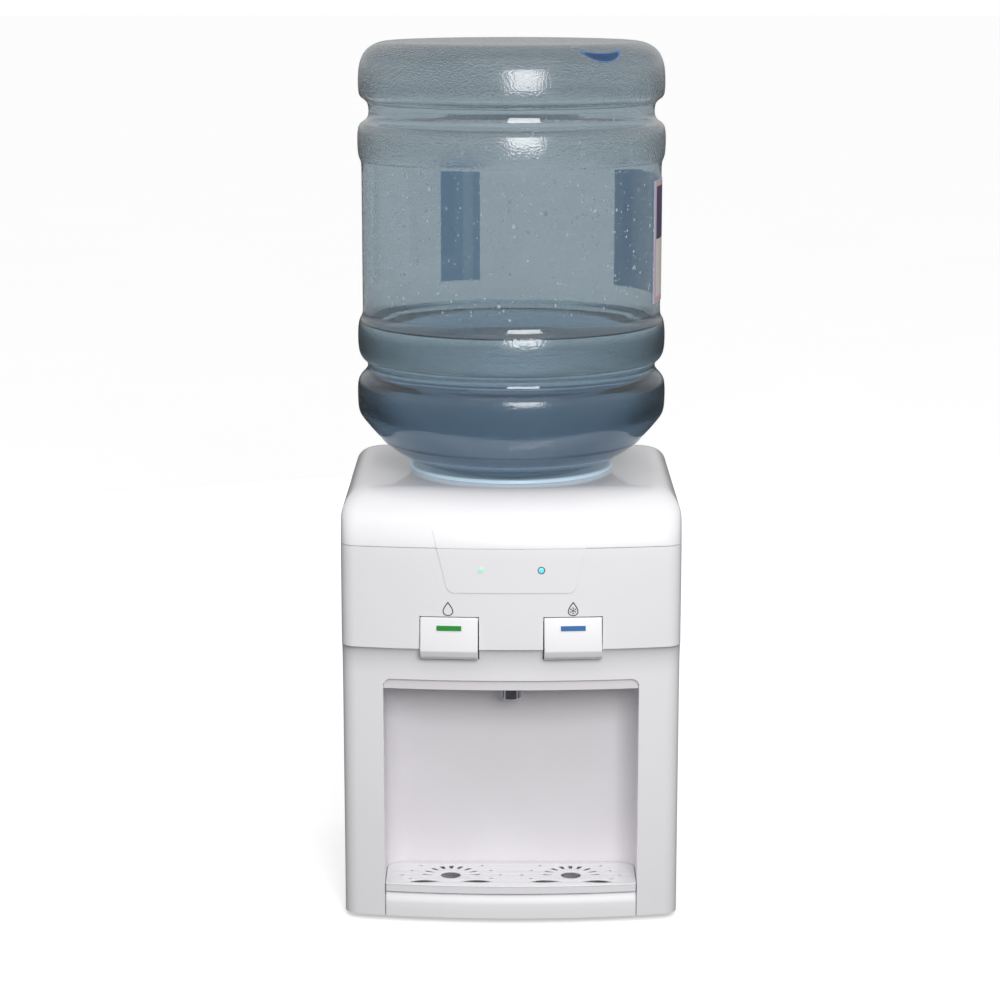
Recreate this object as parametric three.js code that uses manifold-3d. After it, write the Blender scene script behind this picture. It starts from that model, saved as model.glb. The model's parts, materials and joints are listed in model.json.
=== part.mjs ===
// Countertop water dispenser with an upturned five-gallon bottle.
// Millimetres, +Z up. The origin is on the table under the middle of the body and the front faces -Y.
import * as THREE from 'three';
import { mergeVertices } from 'three/addons/utils/BufferGeometryUtils.js';
import Module from 'manifold-3d';

const wasm = await Module();
wasm.setup();

// ---------------------------------------------------------------- driving dimensions
const GAP = 0.3; // air between pieces that touch
const WALL = 2.5; // moulded wall of the case

const CASE = { width: 300, depth: 300, bottom: 5, seam: 347.6, top: 393, frontR: 812, corner: 15 };
const SIDE_SHOULDER_R = 24;
const TOP_ROLL_R = 50;
const FASCIA_BOTTOM = 256.7; // lower edge of the overhanging front
const COVE_BOTTOM = 231;
const COVE_DEPTH = 8;
const FRONT_SEAM_Y = -118; // joint between the front moulding and the side panels
const REAR_PANEL_HALF = 120;

const PLATEAU = { top: 364, bottom: 308, halfTop: 69, halfBottom: 55.5, height: 0.9, corner: 5.5 };
const LED = { x: 26.4, z: 328.5, r: 2.5 };

const RECESS = { half: 113.5, top: 226.3, back: -75, corner: 18, ceiling: 217, wall: 2 };
const NOZZLE = { y: -105, bottom: 200.7, r: 9, outletX: 5 };

const TRAY = { half: 112.9, back: -75.6, corner: 17, floor: 8.6, rim: 27.7, wall: 3 };
const GRILLE = { bottom: 28, top: 35.5, plate: 2.5, targetX: 54.5, targetY: -112 };

const BUTTON = { x: 54.3, half: 25.25, top: 285.5, bottom: 247.5, edgeGap: 0.95 };
const PIVOT = { y: -143.5, z: 283, r: 2, half: 29 };
const EAR_WIDTH = 3; // bearing ears of the front moulding beside each button
const ARM_LENGTH = 26;
const STEM_Y = PIVOT.y + 25;

const COLLAR = { outerR: 93, rimTop: 397, holeR: 86.8, sleeveR: 35.5, sleeveBottom: 350 };
const BOTTLE = { top: 779.4, neckR: 27.5, neckWall: 2.4, neckBottom: 333.3 };
const BODY_R = 135.2; // plain middle band of the bottle
const LABEL = { z0: 549, z1: 658, thickness: 0.4 };

const TANK = { r: 56, wall: 1.5, bottom: 195, top: 342 };
const JACKET = { inner: 57, outer: 68, bottom: 190, top: 300 };
const BARB = { x: 40, r: 4, coldZ: 236, ambientZ: 290, endY: -66 };
const COOLER_Z = 235; // centre height of the cooling stack
const REAR_MOST = 155.1;

const DRAIN = { z: 30, pipeR: 7.4, capR: 11.5 };
const INLET = { x: -70, z: 45 };
const SWITCH = { x: -70, z: 86, pivotY: 146 };
const REAR_SCREW = { x: 112, low: 22, high: 332 };

// ---------------------------------------------------------------- geometry helpers
const PI = Math.PI;

function solid(geometry) {
  const bare = geometry.clone();
  bare.deleteAttribute('normal');
  bare.deleteAttribute('uv');
  const merged = mergeVertices(bare, 1e-4);
  const vertProperties = Float32Array.from(merged.attributes.position.array);
  const triVerts = Uint32Array.from(merged.index.array);
  return new wasm.Manifold(new wasm.Mesh({ numProp: 3, vertProperties, triVerts }));
}

function geometryOf(body) {
  const mesh = body.getMesh();
  const geometry = new THREE.BufferGeometry();
  geometry.setAttribute('position', new THREE.BufferAttribute(Float32Array.from(mesh.vertProperties), 3));
  geometry.setIndex(new THREE.BufferAttribute(Uint32Array.from(mesh.triVerts), 1));
  return geometry;
}

function union(...parts) {
  return parts.reduce((sum, part) => sum.add(part));
}

function cut(body, ...tools) {
  return tools.reduce((left, tool) => left.subtract(tool), body);
}

function box(x0, x1, y0, y1, z0, z1) {
  const geometry = new THREE.BoxGeometry(x1 - x0, y1 - y0, z1 - z0);
  geometry.translate((x0 + x1) / 2, (y0 + y1) / 2, (z0 + z1) / 2);
  return solid(geometry);
}

// Cylinder along Z from z0 to z1, centred on (x, y).
function post(r, x, y, z0, z1, sides = 16) {
  const geometry = new THREE.CylinderGeometry(r, r, z1 - z0, sides);
  geometry.rotateX(PI / 2);
  geometry.translate(x, y, (z0 + z1) / 2);
  return solid(geometry);
}

// Cylinder along Y from y0 to y1, centred on (x, z).
function rodY(r, x, z, y0, y1, sides = 16) {
  const geometry = new THREE.CylinderGeometry(r, r, y1 - y0, sides);
  geometry.translate(x, (y0 + y1) / 2, z);
  return solid(geometry);
}

// Cylinder along X from x0 to x1, centred on (y, z).
function rodX(r, y, z, x0, x1, sides = 12) {
  const geometry = new THREE.CylinderGeometry(r, r, x1 - x0, sides);
  geometry.rotateZ(PI / 2);
  geometry.translate((x0 + x1) / 2, y, z);
  return solid(geometry);
}

function shapeOf(points) {
  return new THREE.Shape(points.map(([x, y]) => new THREE.Vector2(x, y)));
}

function prismZ(shape, z0, z1, curveSegments = 8) {
  const geometry = new THREE.ExtrudeGeometry(shape, { depth: z1 - z0, bevelEnabled: false, curveSegments });
  geometry.translate(0, 0, z0);
  return solid(geometry);
}

// A shape drawn in x and z, carried along Y.
function prismY(shape, y0, y1, curveSegments = 8) {
  const geometry = new THREE.ExtrudeGeometry(shape, { depth: y1 - y0, bevelEnabled: false, curveSegments });
  geometry.rotateX(PI / 2);
  geometry.translate(0, y1, 0);
  return solid(geometry);
}

// A shape drawn in y and z, carried along X.
function prismX(shape, x0, x1, curveSegments = 8) {
  const geometry = new THREE.ExtrudeGeometry(shape, { depth: x1 - x0, bevelEnabled: false, curveSegments });
  geometry.applyMatrix4(new THREE.Matrix4().set(0, 0, 1, 0, 1, 0, 0, 0, 0, 1, 0, 0, 0, 0, 0, 1));
  geometry.translate(x0, 0, 0);
  return solid(geometry);
}

// Profile of [radius, z] pairs turned about the Z axis, taken in the order that turns its faces outwards.
function turned(profile, sides = 32) {
  const points = profile.map(([r, z]) => new THREE.Vector2(r, z));
  if (THREE.ShapeUtils.area(points) < 0) points.reverse();
  const geometry = new THREE.LatheGeometry(points, sides);
  geometry.rotateX(PI / 2);
  return solid(geometry);
}

function roundedRect(x0, x1, y0, y1, r) {
  const shape = new THREE.Shape();
  shape.moveTo(x0 + r, y0);
  shape.lineTo(x1 - r, y0);
  shape.absarc(x1 - r, y0 + r, r, -PI / 2, 0, false);
  shape.lineTo(x1, y1 - r);
  shape.absarc(x1 - r, y1 - r, r, 0, PI / 2, false);
  shape.lineTo(x0 + r, y1);
  shape.absarc(x0 + r, y1 - r, r, PI / 2, PI, false);
  shape.lineTo(x0, y0 + r);
  shape.absarc(x0 + r, y0 + r, r, PI, PI * 1.5, false);
  return shape;
}

// Closed body through rings of [x, y] points, each at its own height; every ring has as many points.
function loft(rings) {
  const count = rings[0].points.length;
  const positions = rings.flatMap(({ points, z }) => points.flatMap(([x, y]) => [x, y, z]));
  const index = [];
  for (let level = 0; level + 1 < rings.length; level += 1) {
    for (let i = 0; i < count; i += 1) {
      const a = level * count + i;
      const b = level * count + ((i + 1) % count);
      index.push(a, b, b + count, a, b + count, a + count);
    }
  }
  const flat = rings[0].points.map(([x, y]) => new THREE.Vector2(x, y));
  const lastStart = (rings.length - 1) * count;
  const topFlat = rings[rings.length - 1].points.map(([x, y]) => new THREE.Vector2(x, y));
  for (const [a, b, c] of THREE.ShapeUtils.triangulateShape(flat, [])) index.push(a, c, b);
  for (const [a, b, c] of THREE.ShapeUtils.triangulateShape(topFlat, [])) {
    index.push(lastStart + a, lastStart + b, lastStart + c);
  }
  const geometry = new THREE.BufferGeometry();
  geometry.setAttribute('position', new THREE.Float32BufferAttribute(positions, 3));
  geometry.setIndex(index);
  return solid(geometry);
}

function arcPoints(cx, cy, r, from, to, steps) {
  const points = [];
  for (let i = 0; i <= steps; i += 1) {
    const a = from + ((to - from) * i) / steps;
    points.push([cx + r * Math.cos(a), cy + r * Math.sin(a)]);
  }
  return points;
}

// Round tube of radius r along a smooth curve through the given points.
function tube(points, r, steps, sides = 8) {
  const path = new THREE.CatmullRomCurve3(points.map(([x, y, z]) => new THREE.Vector3(x, y, z)));
  const section = shapeOf(arcPoints(0, 0, r, 0, 2 * PI, sides).slice(0, sides));
  return new THREE.ExtrudeGeometry(section, { steps, bevelEnabled: false, extrudePath: path });
}

// ---------------------------------------------------------------- plan outlines
const FRONT_CENTRE_Y = CASE.frontR - CASE.depth / 2; // centre of the bowed front, far behind the case

// Outline of a body with a bowed front: an arc about FRONT_CENTRE_Y set back by `front`,
// straight sides at +-half, a straight back at `back`, and rounded corners.
function bowedOutline({ half, front, back, frontCorner, backCorner, arcSteps = 10, cornerSteps = 3 }) {
  const r = CASE.frontR - front;
  const cornerX = half - frontCorner;
  const cornerY = FRONT_CENTRE_Y - Math.sqrt((r - frontCorner) ** 2 - cornerX ** 2);
  const sweep = Math.atan2(cornerX, FRONT_CENTRE_Y - cornerY);
  const frontArc = arcPoints(0, FRONT_CENTRE_Y, r, -PI / 2 - sweep, -PI / 2 + sweep, arcSteps);
  const rightFront = arcPoints(cornerX, cornerY, frontCorner, -PI / 2 + sweep, 0, cornerSteps).slice(1);
  const backX = half - backCorner;
  const backY = back - backCorner;
  const rightBack = arcPoints(backX, backY, backCorner, 0, PI / 2, cornerSteps);
  const leftBack = arcPoints(-backX, backY, backCorner, PI / 2, PI, cornerSteps);
  const leftFront = arcPoints(-cornerX, cornerY, frontCorner, PI, 1.5 * PI - sweep, cornerSteps);
  leftFront.pop();
  return [...frontArc, ...rightFront, ...rightBack, ...leftBack, ...leftFront];
}

function roll(z, start, r) {
  const rise = Math.min(Math.max(z - start, 0), r);
  return r - Math.sqrt(r * r - rise * rise);
}

// How far the front stands back at height z: nothing on the fascia, the cove under it, the frame below,
// and the roll onto the flat top above.
function frontSetBack(z) {
  if (z <= COVE_BOTTOM) return COVE_DEPTH;
  if (z < FASCIA_BOTTOM) {
    const t = (z - COVE_BOTTOM) / (FASCIA_BOTTOM - COVE_BOTTOM);
    return COVE_DEPTH * Math.sqrt(1 - t * t);
  }
  return roll(z, CASE.top - TOP_ROLL_R, TOP_ROLL_R);
}

function caseRing(z, inset = 0, at = z) {
  const side = roll(z, CASE.top - SIDE_SHOULDER_R, SIDE_SHOULDER_R) + inset;
  const rear = roll(z, CASE.top - TOP_ROLL_R, TOP_ROLL_R) + inset;
  const corner = Math.max(CASE.corner - inset, 3);
  const points = bowedOutline({
    half: CASE.width / 2 - side,
    front: frontSetBack(z) + inset,
    back: CASE.depth / 2 - rear,
    frontCorner: corner,
    backCorner: corner,
  });
  return { points, z: at };
}

// Solid case between two heights, offset inwards by `inset`.
function caseBlock(levels, inset = 0) {
  return loft(levels.map((z) => caseRing(z, inset)));
}

function trapezoid(half0, half1, z0, z1, r) {
  const shape = new THREE.Shape();
  shape.moveTo(-half0 + r, z0);
  shape.lineTo(half0 - r, z0);
  shape.quadraticCurveTo(half0, z0, half0 + (half1 - half0) * (r / (z1 - z0)), z0 + r);
  shape.lineTo(half1, z1);
  shape.lineTo(-half1, z1);
  shape.lineTo(-half0 - (half1 - half0) * (r / (z1 - z0)), z0 + r);
  shape.quadraticCurveTo(-half0, z0, -half0 + r, z0);
  return shape;
}

// The low plateau that carries the lamps runs over the seam: this is its skin between two heights.
function plateau(levels) {
  const { top, bottom, halfTop, halfBottom, height, corner } = PLATEAU;
  const window = prismY(trapezoid(halfBottom, halfTop, bottom, top, corner), -160, -100);
  const proud = caseBlock(levels, -height);
  const core = caseBlock([levels[0] - 1, ...levels, levels[levels.length - 1] + 1], WALL / 2);
  return cut(proud.intersect(window), core);
}

// Places a body drawn at x = 0 where a button sits, turned with the bow of the front.
const BUTTON_TURN = Math.asin(BUTTON.x / CASE.frontR);

function aroundFront(body, side) {
  const turn = side * BUTTON_TURN * (180 / PI);
  return body.translate([0, -FRONT_CENTRE_Y, 0]).rotate([0, 0, turn]).translate([0, FRONT_CENTRE_Y, 0]);
}

function frontPoint(x, y, z, side) {
  const turn = side * BUTTON_TURN;
  const r = y - FRONT_CENTRE_Y;
  const turnedX = x * Math.cos(turn) - r * Math.sin(turn);
  return [turnedX, x * Math.sin(turn) + r * Math.cos(turn) + FRONT_CENTRE_Y, z];
}

// ---------------------------------------------------------------- case
const SHELL_TOP = CASE.seam - GAP;
const COVE_LEVELS = [231, 240, 247.5, 253.2, 256, 256.7];
const SHELL_LEVELS = [CASE.bottom, ...COVE_LEVELS, SHELL_TOP];

function frontShell() {
  const outer = caseBlock(SHELL_LEVELS);
  const inner = caseBlock([CASE.bottom - 1, ...COVE_LEVELS, SHELL_TOP + 1], WALL);
  const behind = box(-160, 160, FRONT_SEAM_Y, 160, 0, 360);
  const opening = prismY(roundedRect(-RECESS.half, RECESS.half, -20, RECESS.top, 7), -170, -60, 6);
  let shell = cut(outer, inner, behind, opening);
  shell = shell.add(plateau([PLATEAU.bottom - 2, SHELL_TOP]));
  for (const side of [-1, 1]) {
    const gap = BUTTON.half + BUTTON.edgeGap;
    const window = box(-gap, gap, -165, -130, BUTTON.bottom - 1.8, BUTTON.top + 0.9);
    shell = shell.subtract(aroundFront(window, side));
    for (const ear of [-1, 1]) {
      const middle = ear * (gap + GAP + EAR_WIDTH / 2);
      const block = box(middle - EAR_WIDTH / 2, middle + EAR_WIDTH / 2, -148.4, -139.5, 278.5, 287.5);
      shell = shell.add(aroundFront(block, side));
    }
    shell = shell.subtract(aroundFront(rodX(PIVOT.r + 0.45, PIVOT.y, PIVOT.z, -40, 40), side));
    shell = shell.subtract(rodY(LED.r + 0.4, side * LED.x, LED.z, -160, -140, 12));
  }
  return shell;
}

function sidePanel(side) {
  const outer = caseBlock([CASE.bottom, SHELL_TOP]);
  const inner = caseBlock([CASE.bottom - 1, SHELL_TOP + 1], WALL);
  const keep = side > 0
    ? box(100, 160, FRONT_SEAM_Y + GAP, 160, 0, 360)
    : box(-160, -100, FRONT_SEAM_Y + GAP, 160, 0, 360);
  const limit = REAR_PANEL_HALF + GAP;
  const rearGap = box(-limit, limit, 130, 160, 0, 360);
  let panel = cut(outer.intersect(keep), inner, rearGap);
  for (const z of [REAR_SCREW.low, REAR_SCREW.high]) {
    const ends = [side * (REAR_SCREW.x - 6), side * (CASE.width / 2 - 1)].sort((a, b) => a - b);
    const tab = box(ends[0], ends[1], 144, 147.2, z - 7, z + 7);
    panel = panel.add(tab).subtract(rodY(2.1, side * REAR_SCREW.x, z, 140, 150, 8));
  }
  return panel;
}

function rearPanel() {
  const half = REAR_PANEL_HALF;
  let panel = box(-half, half, CASE.depth / 2 - WALL, CASE.depth / 2, CASE.bottom, SHELL_TOP);
  const slotCount = 9;
  for (let i = 0; i < slotCount; i += 1) {
    const z = COOLER_Z + (i - (slotCount - 1) / 2) * 9.5;
    const reach = 42 - 3 * Math.abs(i - (slotCount - 1) / 2);
    panel = panel.subtract(box(-reach, reach, 140, 160, z - 2.2, z + 2.2));
  }
  for (const x of [-REAR_SCREW.x, REAR_SCREW.x]) {
    for (const z of [REAR_SCREW.low, REAR_SCREW.high]) {
      panel = panel.subtract(rodY(2.1, x, z, 140, 160, 8));
    }
  }
  const inletHole = box(INLET.x - 13.5, INLET.x + 13.5, 140, 160, INLET.z - 10.5, INLET.z + 10.5);
  const switchHole = box(SWITCH.x - 10, SWITCH.x + 10, 140, 160, SWITCH.z - 14, SWITCH.z + 14);
  return cut(panel, inletHole, switchHole, rodY(DRAIN.capR + 1, 0, DRAIN.z, 140, 160));
}

function topCover() {
  const levels = [CASE.seam, 356, 364, 371, 378, 384, 388.5, 391.5, CASE.top];
  const outer = caseBlock(levels);
  const innerRings = [CASE.seam - 1, 364, 378, 388.5, CASE.top - 0.4].map((z) => caseRing(z, WALL));
  innerRings[innerRings.length - 1].z = CASE.top - WALL;
  innerRings[innerRings.length - 2].z = 387;
  const cover = cut(outer, loft(innerRings), post(COLLAR.holeR, 0, 0, 370, 400, 32));
  return cover.add(plateau([CASE.seam, 356, PLATEAU.top + 1]));
}

function basePlate() {
  const points = bowedOutline({ half: 147, front: 11.6, back: 147, frontCorner: 12, backCorner: 12 });
  const plate = prismZ(shapeOf(points), CASE.bottom + GAP, 8.3);
  return cut(plate, post(20, 0, 0, 0, 20));
}

function foot(x, y) {
  return turned([[0, 0], [11, 0], [12.5, 1.5], [12.5, 5], [0, 5]], 16).translate([x, y, 0]);
}

// ---------------------------------------------------------------- recess, spout, tray
function recessPlan(inset, front, backInset = inset) {
  return bowedOutline({
    half: RECESS.half + RECESS.wall - inset,
    front,
    back: RECESS.back + RECESS.wall - backInset,
    frontCorner: 1,
    backCorner: RECESS.corner + RECESS.wall - inset,
    cornerSteps: 4,
  });
}

function recessLiner() {
  const frontLine = COVE_DEPTH + WALL + GAP;
  const { ceiling, top, wall } = RECESS;
  const outer = prismZ(shapeOf(recessPlan(0, frontLine)), TRAY.floor, top);
  const room = prismZ(shapeOf(recessPlan(wall, -30)), 0, ceiling);
  const roof = prismZ(shapeOf(recessPlan(wall, frontLine + wall)), ceiling + wall + 0.5, top + 5);
  const spoutHole = post(NOZZLE.r + 0.5, 0, NOZZLE.y, 200, 240);
  return cut(outer, room, roof, spoutHole);
}

function spoutNozzle() {
  const { y, bottom, r, outletX } = NOZZLE;
  const sleeve = post(r, 0, y, bottom, 222.5);
  const flange = post(13, 0, y, 220, 222.5);
  const bore = post(r - 1.6, 0, y, bottom - 1, 215);
  let nozzle = cut(union(sleeve, flange), bore);
  for (const side of [-1, 1]) {
    nozzle = nozzle.add(post(3.1, side * 3.6, y, bottom + 2, 216, 10));
    nozzle = nozzle.subtract(post(2.1, side * 3.6, y, bottom, 212, 10));
    nozzle = nozzle.add(post(3, side * outletX, y, 222, 231, 10));
  }
  return nozzle;
}

function trayPlan(front, inset = 0) {
  return bowedOutline({
    half: TRAY.half - inset,
    front: front + inset,
    back: TRAY.back - inset,
    frontCorner: 2,
    backCorner: TRAY.corner - inset,
    cornerSteps: 4,
  });
}

// The front of the tray is flush with the frame, with a finger cove under the lip of the grille.
function dripTray() {
  const fingerCove = [
    [CASE.bottom, 9], [6.5, 8], [16, 8], [18.5, 8.6], [21, 10.6], [24, 12.4], [TRAY.rim, 13],
  ];
  const outer = loft(fingerCove.map(([z, front]) => ({ points: trayPlan(front), z })));
  const basin = prismZ(shapeOf(trayPlan(14.5, TRAY.wall)), TRAY.floor + 2.4, 40);
  const underside = prismZ(shapeOf(bowedOutline({
    half: 150, front: 11.2, back: 0, frontCorner: 1, backCorner: 1,
  })), 0, TRAY.floor);
  return cut(outer, basin, underside);
}

// Tapered slot from radius r0 to r1 in the direction a, measured from straight back.
function radialSlot(x, y, a, r0, r1, w0, w1) {
  const along = [Math.sin(a), Math.cos(a)];
  const across = [Math.cos(a), -Math.sin(a)];
  const corner = (r, w) => [x + along[0] * r + across[0] * w, y + along[1] * r + across[1] * w];
  return shapeOf([corner(r0, -w0), corner(r0, w0), corner(r1, w1), corner(r1, -w1)]);
}

// Leaf-shaped drain slot: thick at its outer end, running to a point near the middle.
function leafSlot(x, y, side) {
  const shape = new THREE.Shape();
  shape.moveTo(x + side * 3.5, y - 17.5);
  shape.quadraticCurveTo(x + side * 22, y - 10, x + side * 38, y - 17.5);
  shape.quadraticCurveTo(x + side * 22, y - 17, x + side * 3.5, y - 17.5);
  return shape;
}

function dripGrille() {
  const { bottom, top, plate, targetX, targetY } = GRILLE;
  const block = prismZ(shapeOf(trayPlan(COVE_DEPTH)), bottom, top);
  const hollow = prismZ(shapeOf(trayPlan(COVE_DEPTH, plate)), bottom - 1, top - plate);
  let grille = cut(block, hollow);
  for (const side of [-1, 1]) {
    const x = side * targetX;
    grille = grille.subtract(post(9, x, targetY, 20, 40, 18));
    const slotAngles = [-84, -64, -43, -21, 0, 21, 43, 64, 84];
    for (const degrees of slotAngles) {
      const slot = radialSlot(x, targetY, (degrees * PI) / 180, 18, 26, 0.9, 1.7);
      grille = grille.subtract(prismZ(slot, 20, 40));
    }
    for (const hand of [-1, 1]) {
      for (const [dx, dy] of [[28, 25.5], [36, 12.5], [44.5, 1], [36.5, -8.5]]) {
        grille = grille.subtract(post(1.7, x + hand * dx, targetY + dy, 20, 40, 6));
      }
      grille = grille.subtract(prismZ(leafSlot(x, targetY, hand), 20, 40, 4));
    }
  }
  return grille;
}

// ---------------------------------------------------------------- buttons and taps
function button(side) {
  const { half, top, bottom } = BUTTON;
  const skin = shapeOf([
    [-146.5, bottom], [-149.4, bottom], [-152.9, 250.4], [-155.2, 256], [-150.6, top], [-146.5, top],
  ]);
  const hollow = shapeOf([
    [-145, bottom + 2.2], [-148.6, bottom + 2.2], [-151.4, 252], [-152.9, 256.4],
    [-148.6, top - 2.2], [-145, top - 2.2],
  ]);
  const cap = cut(prismX(skin, -half, half), prismX(hollow, -half + 2.2, half - 2.2));
  const arm = box(-4.5, 4.5, -149.5, PIVOT.y + ARM_LENGTH, PIVOT.z - 1.5, PIVOT.z + 1.5);
  const fork = box(-2.5, 2.5, STEM_Y - 3, STEM_Y + 9, PIVOT.z - 3, PIVOT.z + 3);
  const trunnion = rodX(PIVOT.r, PIVOT.y, PIVOT.z, -PIVOT.half, PIVOT.half);
  return aroundFront(cut(union(cap, arm, trunnion), fork), side);
}

// Coloured insert on the sloping face of a button.
function marker(side) {
  const slope = Math.atan2(155.2 - 150.6, BUTTON.top - 256);
  const geometry = new THREE.BoxGeometry(21.8, 0.5, 4.4);
  geometry.rotateX(-slope);
  geometry.translate(0, -152.05 - 0.62, 276.5);
  return aroundFront(solid(geometry), side);
}

function ledLens(side) {
  return rodY(LED.r, side * LED.x, LED.z, -151.2, -144.6, 12);
}

function ledBoard() {
  const board = box(-36, 36, -142.6, -141, LED.z - 7, LED.z + 7);
  const lampSeat = (side) => rodY(3.2, side * LED.x, LED.z, -144.3, -142, 8);
  return union(board, lampSeat(-1), lampSeat(1), box(-6, 6, -141.2, -135, LED.z - 4, LED.z + 4));
}

function valveBody(side) {
  const barrel = post(10, 0, STEM_Y, 236, 266, 12);
  const bonnet = post(12, 0, STEM_Y, 265.5, 272, 6);
  const inlet = rodY(BARB.r, 0, 250, STEM_Y, -97, 8);
  const outletEnd = -side * 17;
  const outlet = rodX(BARB.r, STEM_Y, 243, Math.min(0, outletEnd), Math.max(0, outletEnd), 8);
  const leftPost = box(-9.5, -6.5, STEM_Y - 3, STEM_Y + 3, 271, 304);
  const rightPost = box(6.5, 9.5, STEM_Y - 3, STEM_Y + 3, 271, 304);
  const bridge = box(-9.5, 9.5, STEM_Y - 3, STEM_Y + 3, 303, 306);
  const stemHole = post(2.4, 0, STEM_Y, 256, 310, 8);
  return aroundFront(cut(union(barrel, bonnet, inlet, outlet, leftPost, rightPost, bridge), stemHole), side);
}

function valveStem(side) {
  const rod = post(1.8, 0, STEM_Y, 258, 307, 8);
  const collar = post(3.6, 0, STEM_Y, PIVOT.z + 1.8, PIVOT.z + 4.6, 10);
  return aroundFront(union(rod, collar), side);
}

class Helix extends THREE.Curve {
  constructor(x, y, r, z0, z1, turns) {
    super();
    Object.assign(this, { x, y, r, z0, z1, turns });
  }

  getPoint(t, target = new THREE.Vector3()) {
    const a = 2 * PI * this.turns * t;
    const z = this.z0 + (this.z1 - this.z0) * t;
    return target.set(this.x + this.r * Math.cos(a), this.y + this.r * Math.sin(a), z);
  }
}

function returnSpring(side) {
  const [x, y] = frontPoint(0, STEM_Y, 0, side);
  const wire = 0.6;
  const path = new Helix(x, y, 3.3, PIVOT.z + 5.7, 302, 4);
  const section = shapeOf(arcPoints(0, 0, wire, 0, 2 * PI, 4).slice(0, 4));
  return new THREE.ExtrudeGeometry(section, { steps: 32, bevelEnabled: false, extrudePath: path });
}

// ---------------------------------------------------------------- bottle and its seat
function bottle() {
  const outer = [
    [0, BOTTLE.top], [104, BOTTLE.top], [118, 776.4], [129.5, 768], [135.4, 758], [137.5, 746], [137, 733],
    [128.6, 720], [128.6, 714], [136, 703.5], [138.4, 696], [137.6, 680], [BODY_R, 671],
    [BODY_R, 535.6], [139.7, 518], [138.6, 499], [131, 489.5], [131.2, 484.6],
    [140.2, 471], [140.2, 452.5], [137, 441], [129.8, 433.5], [112.6, 415],
    [93.8, 403], [80, 398.5], [60, 393.2], [45, 390], [31, 387.2], [BOTTLE.neckR, 382],
    [BOTTLE.neckR, BOTTLE.neckBottom],
  ];
  const neckInner = BOTTLE.neckR - BOTTLE.neckWall;
  const inner = [
    [neckInner, BOTTLE.neckBottom], [neckInner, 384], [28, 388.6], [79, 400.6], [92.4, 405.4],
    [128, 436], [135.5, 445], [135.5, 473.5], [128.8, 485], [128.8, 490],
    [BODY_R - 2, 496], [BODY_R - 2, 704], [126.4, 714], [126.4, 720], [BODY_R - 2, 731],
    [BODY_R - 2, 757], [116, 774.4], [0, 777],
  ];
  return turned([...outer, ...inner], 28);
}

function bottleCap() {
  const inner = BOTTLE.neckR + GAP;
  const profile = [
    [13, 330], [30, 330], [31, 331], [31, 352], [inner, 352], [inner, 333], [13, 333], [13, 330],
  ];
  return turned(profile, 24);
}

function bottleCollar() {
  const { outerR, rimTop, sleeveR, sleeveBottom } = COLLAR;
  const profile = [
    [outerR, CASE.top + GAP], [outerR, 395.6], [outerR - 1.4, rimTop], [88.6, rimTop], [85, 394],
    [46, 389.6], [38, 387.9], [sleeveR - 2.4, 382], [sleeveR - 2.4, sleeveBottom], [sleeveR, sleeveBottom],
    [sleeveR, 380], [42, 384.6], [85.6, 390.4], [85.6, CASE.top + GAP], [outerR, CASE.top + GAP],
  ];
  return turned(profile);
}

// Thin wrap on the bottle between two bearings, measured from the front towards +X.
function wrapLabel(from, to) {
  const inner = BODY_R + 0.35;
  const toAngle = (degrees) => ((degrees - 90) * PI) / 180;
  const steps = Math.ceil((to - from) / 6);
  const near = arcPoints(0, 0, inner, toAngle(from), toAngle(to), steps);
  const far = arcPoints(0, 0, inner + LABEL.thickness, toAngle(to), toAngle(from), steps);
  return prismZ(shapeOf([...near, ...far]), LABEL.z0, LABEL.z1);
}

// ---------------------------------------------------------------- water path
function tank() {
  const { r, wall, bottom, top } = TANK;
  const shell = turned([
    [0, bottom], [r, bottom], [r, top], [r - wall, top], [r - wall, bottom + wall], [0, bottom + wall],
  ], 24);
  const drainBarb = post(4, 0, 0, bottom - 12, bottom + 1, 8);
  const coldBarb = rodY(BARB.r, BARB.x, BARB.coldZ, BARB.endY, -38.6, 8);
  const ambientBarb = rodY(BARB.r, -BARB.x, BARB.ambientZ, BARB.endY, -38.6, 8);
  const bore = post(r - wall - 0.2, 0, 0, bottom + wall, top + 1, 24);
  return cut(union(shell, drainBarb, coldBarb, ambientBarb), bore);
}

function tankGasket() {
  const { r, top } = TANK;
  return turned([[52, top + GAP], [r, top + GAP], [r, top + 2], [52, top + 2], [52, top + GAP]], 24);
}

function tankLid() {
  const low = TANK.top + 2 + GAP;
  return turned([[36.5, low], [57.5, low], [57.5, low + 2.6], [36.5, low + 2.6], [36.5, low]], 24);
}

// Basket with a hollow probe that opens the bottle cap; water runs out through windows in its floor.
function feedProbe() {
  const flange = TANK.top + 2;
  const profile = [
    [6, 318], [40, 318], [40, flange - 2.3], [50, flange - 2.3], [50, flange - GAP], [38, flange - GAP],
    [38, 320.5], [8.5, 320.5], [8.5, 348], [7, 350], [6, 350], [6, 318],
  ];
  let basket = turned(profile, 20);
  for (let i = 0; i < 6; i += 1) {
    const window = radialSlot(0, 0, (i * PI) / 3, 14, 34, 2.5, 5.5);
    basket = basket.subtract(prismZ(window, 315, 322));
  }
  return basket;
}

function baffle() {
  const r = TANK.r - TANK.wall - 0.8;
  const disc = post(r - 0.6, 0, 0, 262, 264, 24);
  const spindle = post(6, 0, 0, 256, 262.5, 10);
  const vents = [[30, 0], [0, 30], [-30, 0], [0, -30]].map(([x, y]) => post(5, x, y, 250, 270, 8));
  return cut(union(disc, spindle), ...vents);
}

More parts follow.
